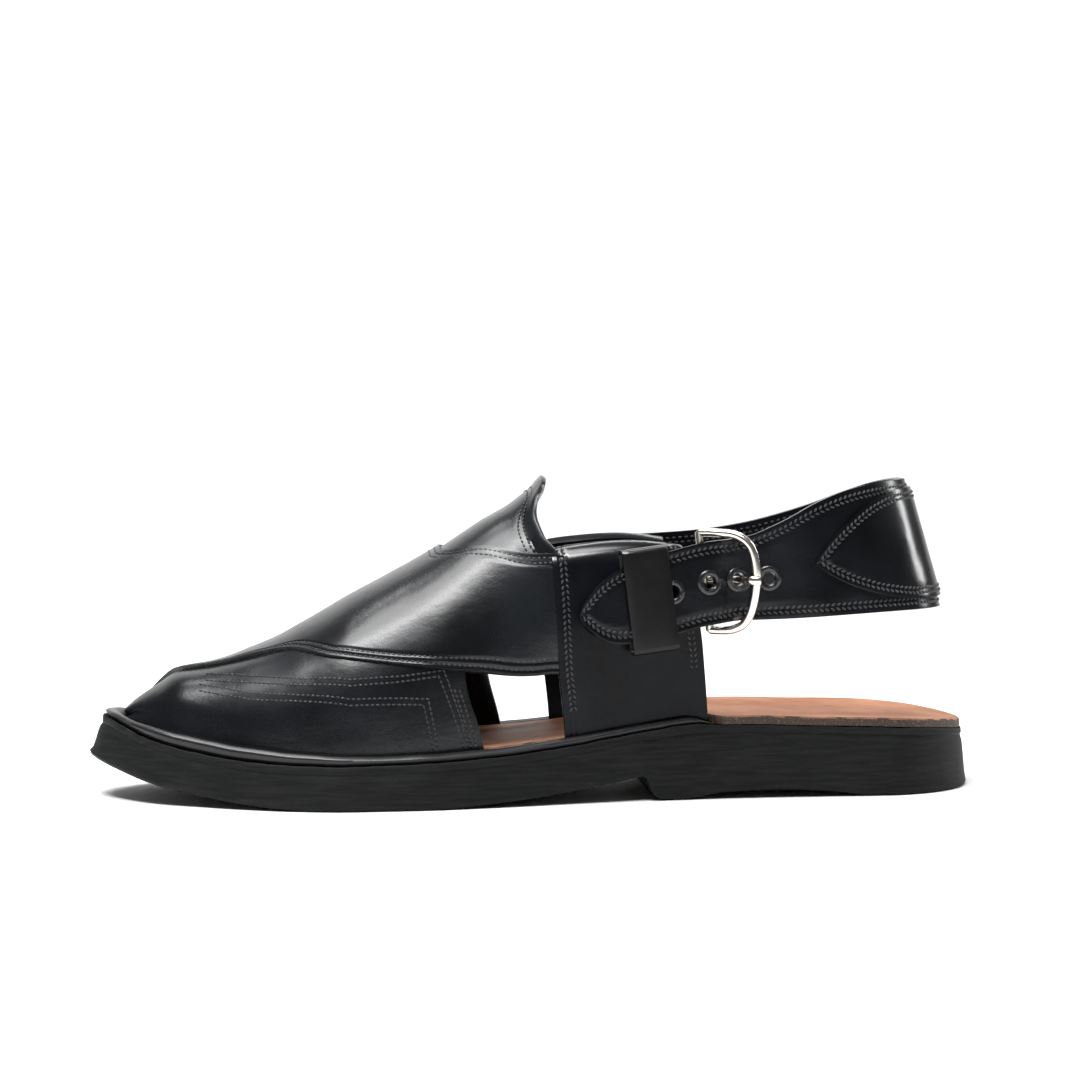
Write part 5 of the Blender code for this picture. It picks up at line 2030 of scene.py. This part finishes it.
    def _keeper_line(self) -> list[tuple[Vector, Vector]]:
        """The keeper's inner line round the strap, in its own depth and height.

        Returns:
            Its points, each with the direction out of the loop.
        """
        inner_room = self.strap.thickness / 2 + LAST.gap + self.strap.crown / 2
        outer_room = self.strap.thickness / 2 + 2 * LAST.gap + self.flange
        half_depth = (outer_room + inner_room) / 2 - self.keeper_corner
        half_height = self.keeper_height / 2 - self.strap.keeper_thickness - self.keeper_corner
        turned = ((1, 1), (-1, 1), (-1, -1), (1, -1))
        corners = [Vector(((outer_room - inner_room) / 2 + deep * half_depth, high * half_height))
                   for deep, high in turned]
        bends, runs = 8, 6
        line = []
        for number, corner in enumerate(corners):
            for step in range(bends + 1):
                angle = (number + step / bends) * math.pi / 2
                way = Vector((math.cos(angle), math.sin(angle)))
                line.append((corner.copy(), way))
            after = corners[(number + 1) % len(corners)]
            line.extend((corner.lerp(after, k / runs), way) for k in range(1, runs))
        return line

    def build_keeper(self) -> None:
        """Closes the keeper's loop round the strap."""
        middle, out = self.strap.face(self.keeper_along, self.keeper_middle * LAST.instep_height, 0.0)
        run = Vector((0, 0, 1)).cross(out).normalized()
        tilt = Matrix.Rotation(math.radians(self.keeper_tilt), 3, out)
        run, up = tilt @ run, tilt @ out.cross(run).normalized()
        line = self._keeper_line()
        cells, section = len(line), 24

        def place(u: float, v: float, ply: int) -> Vector:
            """A point of the loop.

            Args:
                u: Round the strap.
                v: Round the flat section.
                ply: Always 0 here.

            Returns:
                The point.
            """
            base, way = line[round(u * cells) % cells]
            angle = v * 2 * math.pi
            flat = max(-1.0, min(1.0, 1.35 * math.cos(angle)))
            deep = max(-1.0, min(1.0, 1.35 * math.sin(angle)))
            spot = base + way * (self.keeper_corner + self.strap.keeper_thickness * (0.5 + 0.5 * deep))
            belly = self.keeper_belly * (1 - flat * flat) if deep > 0.9 and way.x > 0.7 else 0.0
            return middle + out * (spot.x + belly) + up * spot.y + run * (flat * self.keeper_width / 2)

        keeper = Bench.rolled("keeper_loop", cells, section, place)
        self.keeper_leather.dress(Bench.finish(keeper, smooth=50), "keeper")

    def build(self) -> None:
        """Builds the hardware and the leather that holds it."""
        self.build_frame()
        self.build_prong()
        self.build_chape()
        self.build_keeper()


@dataclass
class Eyelets:
    """The four punched eyelets in the strap."""

    strap: HeelStrap
    enamel: Slot
    radius: float = 0.0042
    bore: float = 0.0021
    barrel: float = 0.0026
    flange: float = 0.0007
    seat: float = 0.00005

    def profile(self) -> list[tuple[float, float]]:
        """The eyelet's turned section.

        Returns:
            Radius and height of its corners, from the barrel's foot round the flange to the bore.
        """
        foot = -self.strap.thickness - LAST.gap
        rim = [(self.barrel, foot), (self.barrel, 0.0), (self.radius, 0.0)]
        crown = self.radius - self.bore
        for degrees in range(0, 181, 15):
            angle = math.radians(degrees)
            middle = self.bore + crown / 2
            rim.append((middle + math.cos(angle) * crown / 2, self.seat + math.sin(angle) * self.flange))
        return rim + [(self.bore, foot)]

    def build(self) -> None:
        """Turns each eyelet on the strap."""
        stand = self.strap.thickness / 2 + LAST.gap
        section = self.profile()
        count = len(section)
        for number, (along, share) in enumerate(EYELET_ROWS, start=1):
            centre, out = self.strap.face(along, share * LAST.instep_height, stand)
            turned = Matrix.Translation(centre) @ out.to_track_quat("Z", "Y").to_matrix().to_4x4()

            def place(u: float, v: float, ply: int) -> Vector:
                """A point of the ring; what lies on the strap follows the strap's face.

                Args:
                    u: Round the ring.
                    v: Round its section.
                    ply: Always 0 here.

                Returns:
                    The point.
                """
                radius, height = section[round(v * count) % count]
                angle = u * 2 * math.pi
                point = turned @ Vector((math.cos(angle) * radius, math.sin(angle) * radius, 0))
                if height >= 0:
                    point = self.strap.onto(point, out, stand)
                return point + out * height

            piece = Bench.rolled(f"eyelet_ring_{number}", 40, count, place)
            self.enamel.dress(Bench.finish(piece, smooth=50), f"eyelet_{number}")


@dataclass(frozen=True)
class Lamp:
    """A soft light: where it hangs, the size of its face, its power in watts and where it looks."""

    name: str
    place: tuple[float, float, float]
    size: tuple[float, float]
    power: float
    aim: tuple[float, float, float] = (-0.13, 0.0, 0.05)

    def hang(self) -> None:
        """Adds the light to the scene."""
        data = bpy.data.lights.new(self.name, "AREA")
        data.shape = "RECTANGLE"
        data.size, data.size_y = self.size
        data.energy = self.power
        lamp = bpy.data.objects.new(self.name, data)
        where = Vector(self.place)
        turn = (Vector(self.aim) - where).to_track_quat("-Z", "Y").to_matrix().to_4x4()
        lamp.matrix_world = Matrix.Translation(where) @ turn
        bpy.context.scene.collection.objects.link(lamp)


LAMPS = (
    Lamp("key_light", (-0.45, -0.20, 1.1), (0.9, 0.6), 18),
    Lamp("strip_light", (-0.42, -0.42, 0.95), (0.75, 0.10), 7),
    Lamp("heel_light", (0.62, 0.16, 0.40), (0.12, 0.5), 3),
    Lamp("backdrop_light", (0.0, 1.0, 2.2), (2.5, 0.6), 60, (0.0, 2.4, 0.6)),
)


@dataclass
class Studio:
    """Pale floor, soft lights and the camera where the photograph was taken from."""

    azimuth: float = -5.0
    elevation: float = 2.793
    roll: float = -0.337
    focal_pixels: float = 2833.7
    frame_pixels: float = 1080.0
    sensor: float = 36.0
    distance: float = 0.95
    target: tuple[float, float, float] = (-0.12235, 0.0, 0.0835)
    floor_size: float = 5.0
    backdrop_height: float = 2.6
    backdrop_bend: float = 0.9
    air_strength: float = 0.12

    def build_camera(self) -> None:
        """Sets the camera."""
        azimuth, elevation, roll = (math.radians(v) for v in (self.azimuth, self.elevation, self.roll))
        level_back = Vector((math.sin(azimuth), -math.cos(azimuth), 0))
        back = level_back * math.cos(elevation) + Vector((0, 0, math.sin(elevation)))
        level = Vector((0, 0, 1)).cross(back).normalized()
        up = back.cross(level)
        right = level * math.cos(roll) + up * math.sin(roll)
        head = level * -math.sin(roll) + up * math.cos(roll)
        data = bpy.data.cameras.new("camera")
        data.sensor_fit = "HORIZONTAL"
        data.sensor_width = self.sensor
        data.lens = self.sensor * self.focal_pixels / self.frame_pixels
        camera = bpy.data.objects.new("camera", data)
        camera.matrix_world = (
            Matrix.Translation(Vector(self.target) + back * self.distance)
            @ Matrix((right, head, back)).transposed().to_4x4()
        )
        bpy.context.scene.collection.objects.link(camera)
        bpy.context.scene.camera = camera

    def build_floor(self) -> None:
        """Lays the floor and curves it up into a backdrop behind the shoe."""
        Bench.clear_selection()
        bpy.ops.mesh.primitive_grid_add(
            x_subdivisions=8, y_subdivisions=8, size=self.floor_size, location=(0, 0, 0))
        floor = bpy.context.object
        floor.name = "floor"
        bpy.ops.object.transform_apply(location=True, rotation=True, scale=True)
        bpy.ops.object.mode_set(mode="EDIT")
        bpy.ops.mesh.select_mode(type="EDGE")
        bpy.ops.mesh.select_all(action="DESELECT")
        bpy.ops.object.mode_set(mode="OBJECT")
        for edge in floor.data.edges:
            ends = [floor.data.vertices[index].co.y for index in edge.vertices]
            edge.select = min(ends) > self.floor_size / 2 - 0.01
        bpy.ops.object.mode_set(mode="EDIT")
        bpy.ops.mesh.extrude_region_move(TRANSFORM_OT_translate={"value": (0, 0, self.backdrop_height)})
        bpy.ops.object.mode_set(mode="OBJECT")
        Bench.finish(floor, self.backdrop_bend, 16, 60, 60)
        floor.data.materials.append(PaleFloor().material())

    def build(self) -> None:
        """Sets up the studio."""
        self.build_camera()
        self.build_floor()
        for lamp in LAMPS:
            lamp.hang()
        bpy.context.scene.view_settings.view_transform = "Standard"
        world = bpy.data.worlds.new("studio_air")
        world.use_nodes = True
        air = world.node_tree.nodes["Background"]
        air.inputs["Color"].default_value = (1, 1, 1, 1)
        air.inputs["Strength"].default_value = self.air_strength
        bpy.context.scene.world = world


def main() -> None:
    """Builds the studio and every piece of the sandal."""
    logging.basicConfig(level=logging.INFO, format="%(name)s: %(message)s")
    Studio().build()
    black = PolishedLeather("box_leather")
    quarter = PolishedLeather("quarter_leather", rough=0.22, gloss=0.11, coat=0.04, edge_polish=0.8)
    strapping = PolishedLeather("strap_leather", rough=0.22, gloss=0.22, coat=0.10)
    capping = PolishedLeather("cap_leather", rough=0.20, gloss=0.26, coat=0.14)
    brown_black = PolishedLeather(
        "keeper_leather", (0.0045, 0.0043, 0.0044), (0.0105, 0.0101, 0.0102), 0.33, 0.20, edge_polish=0.6)
    rounded = PolishedLeather("welt_leather", (0.0060, 0.0060, 0.0068), (0.0140, 0.0140, 0.0155), 0.33)
    leather = Slot(black.material(), "black_leather")
    quarter_leather = Slot(quarter.material(), "black_leather")
    strap_leather = Slot(strapping.material(), "strap_leather")
    cap_leather = Slot(capping.material(), "cap_leather")
    keeper_leather = Slot(brown_black.material(), "keeper_leather")
    welt_leather = Slot(rounded.material(), "welt_leather")
    waxed = WaxedThread().material()
    rubber = Slot(Rubber().material(), "rubber")
    tan_leather = Slot(TanLeather().material(), "insole_leather")
    Sole(rubber, tan_leather, welt_leather).build()
    Upper(leather, quarter_leather, Thread(Slot(waxed, "black_leather"))).build()
    strap = HeelStrap(strap_leather, cap_leather, Thread(Slot(waxed, "strap_leather")))
    strap.build()
    Buckle(strap, Slot(Nickel().material(), "nickel"), strap_leather, keeper_leather).build()
    Eyelets(strap, Slot(BlackEnamel().material(), "black_metal")).build()


if __name__ == "__main__":
    main()
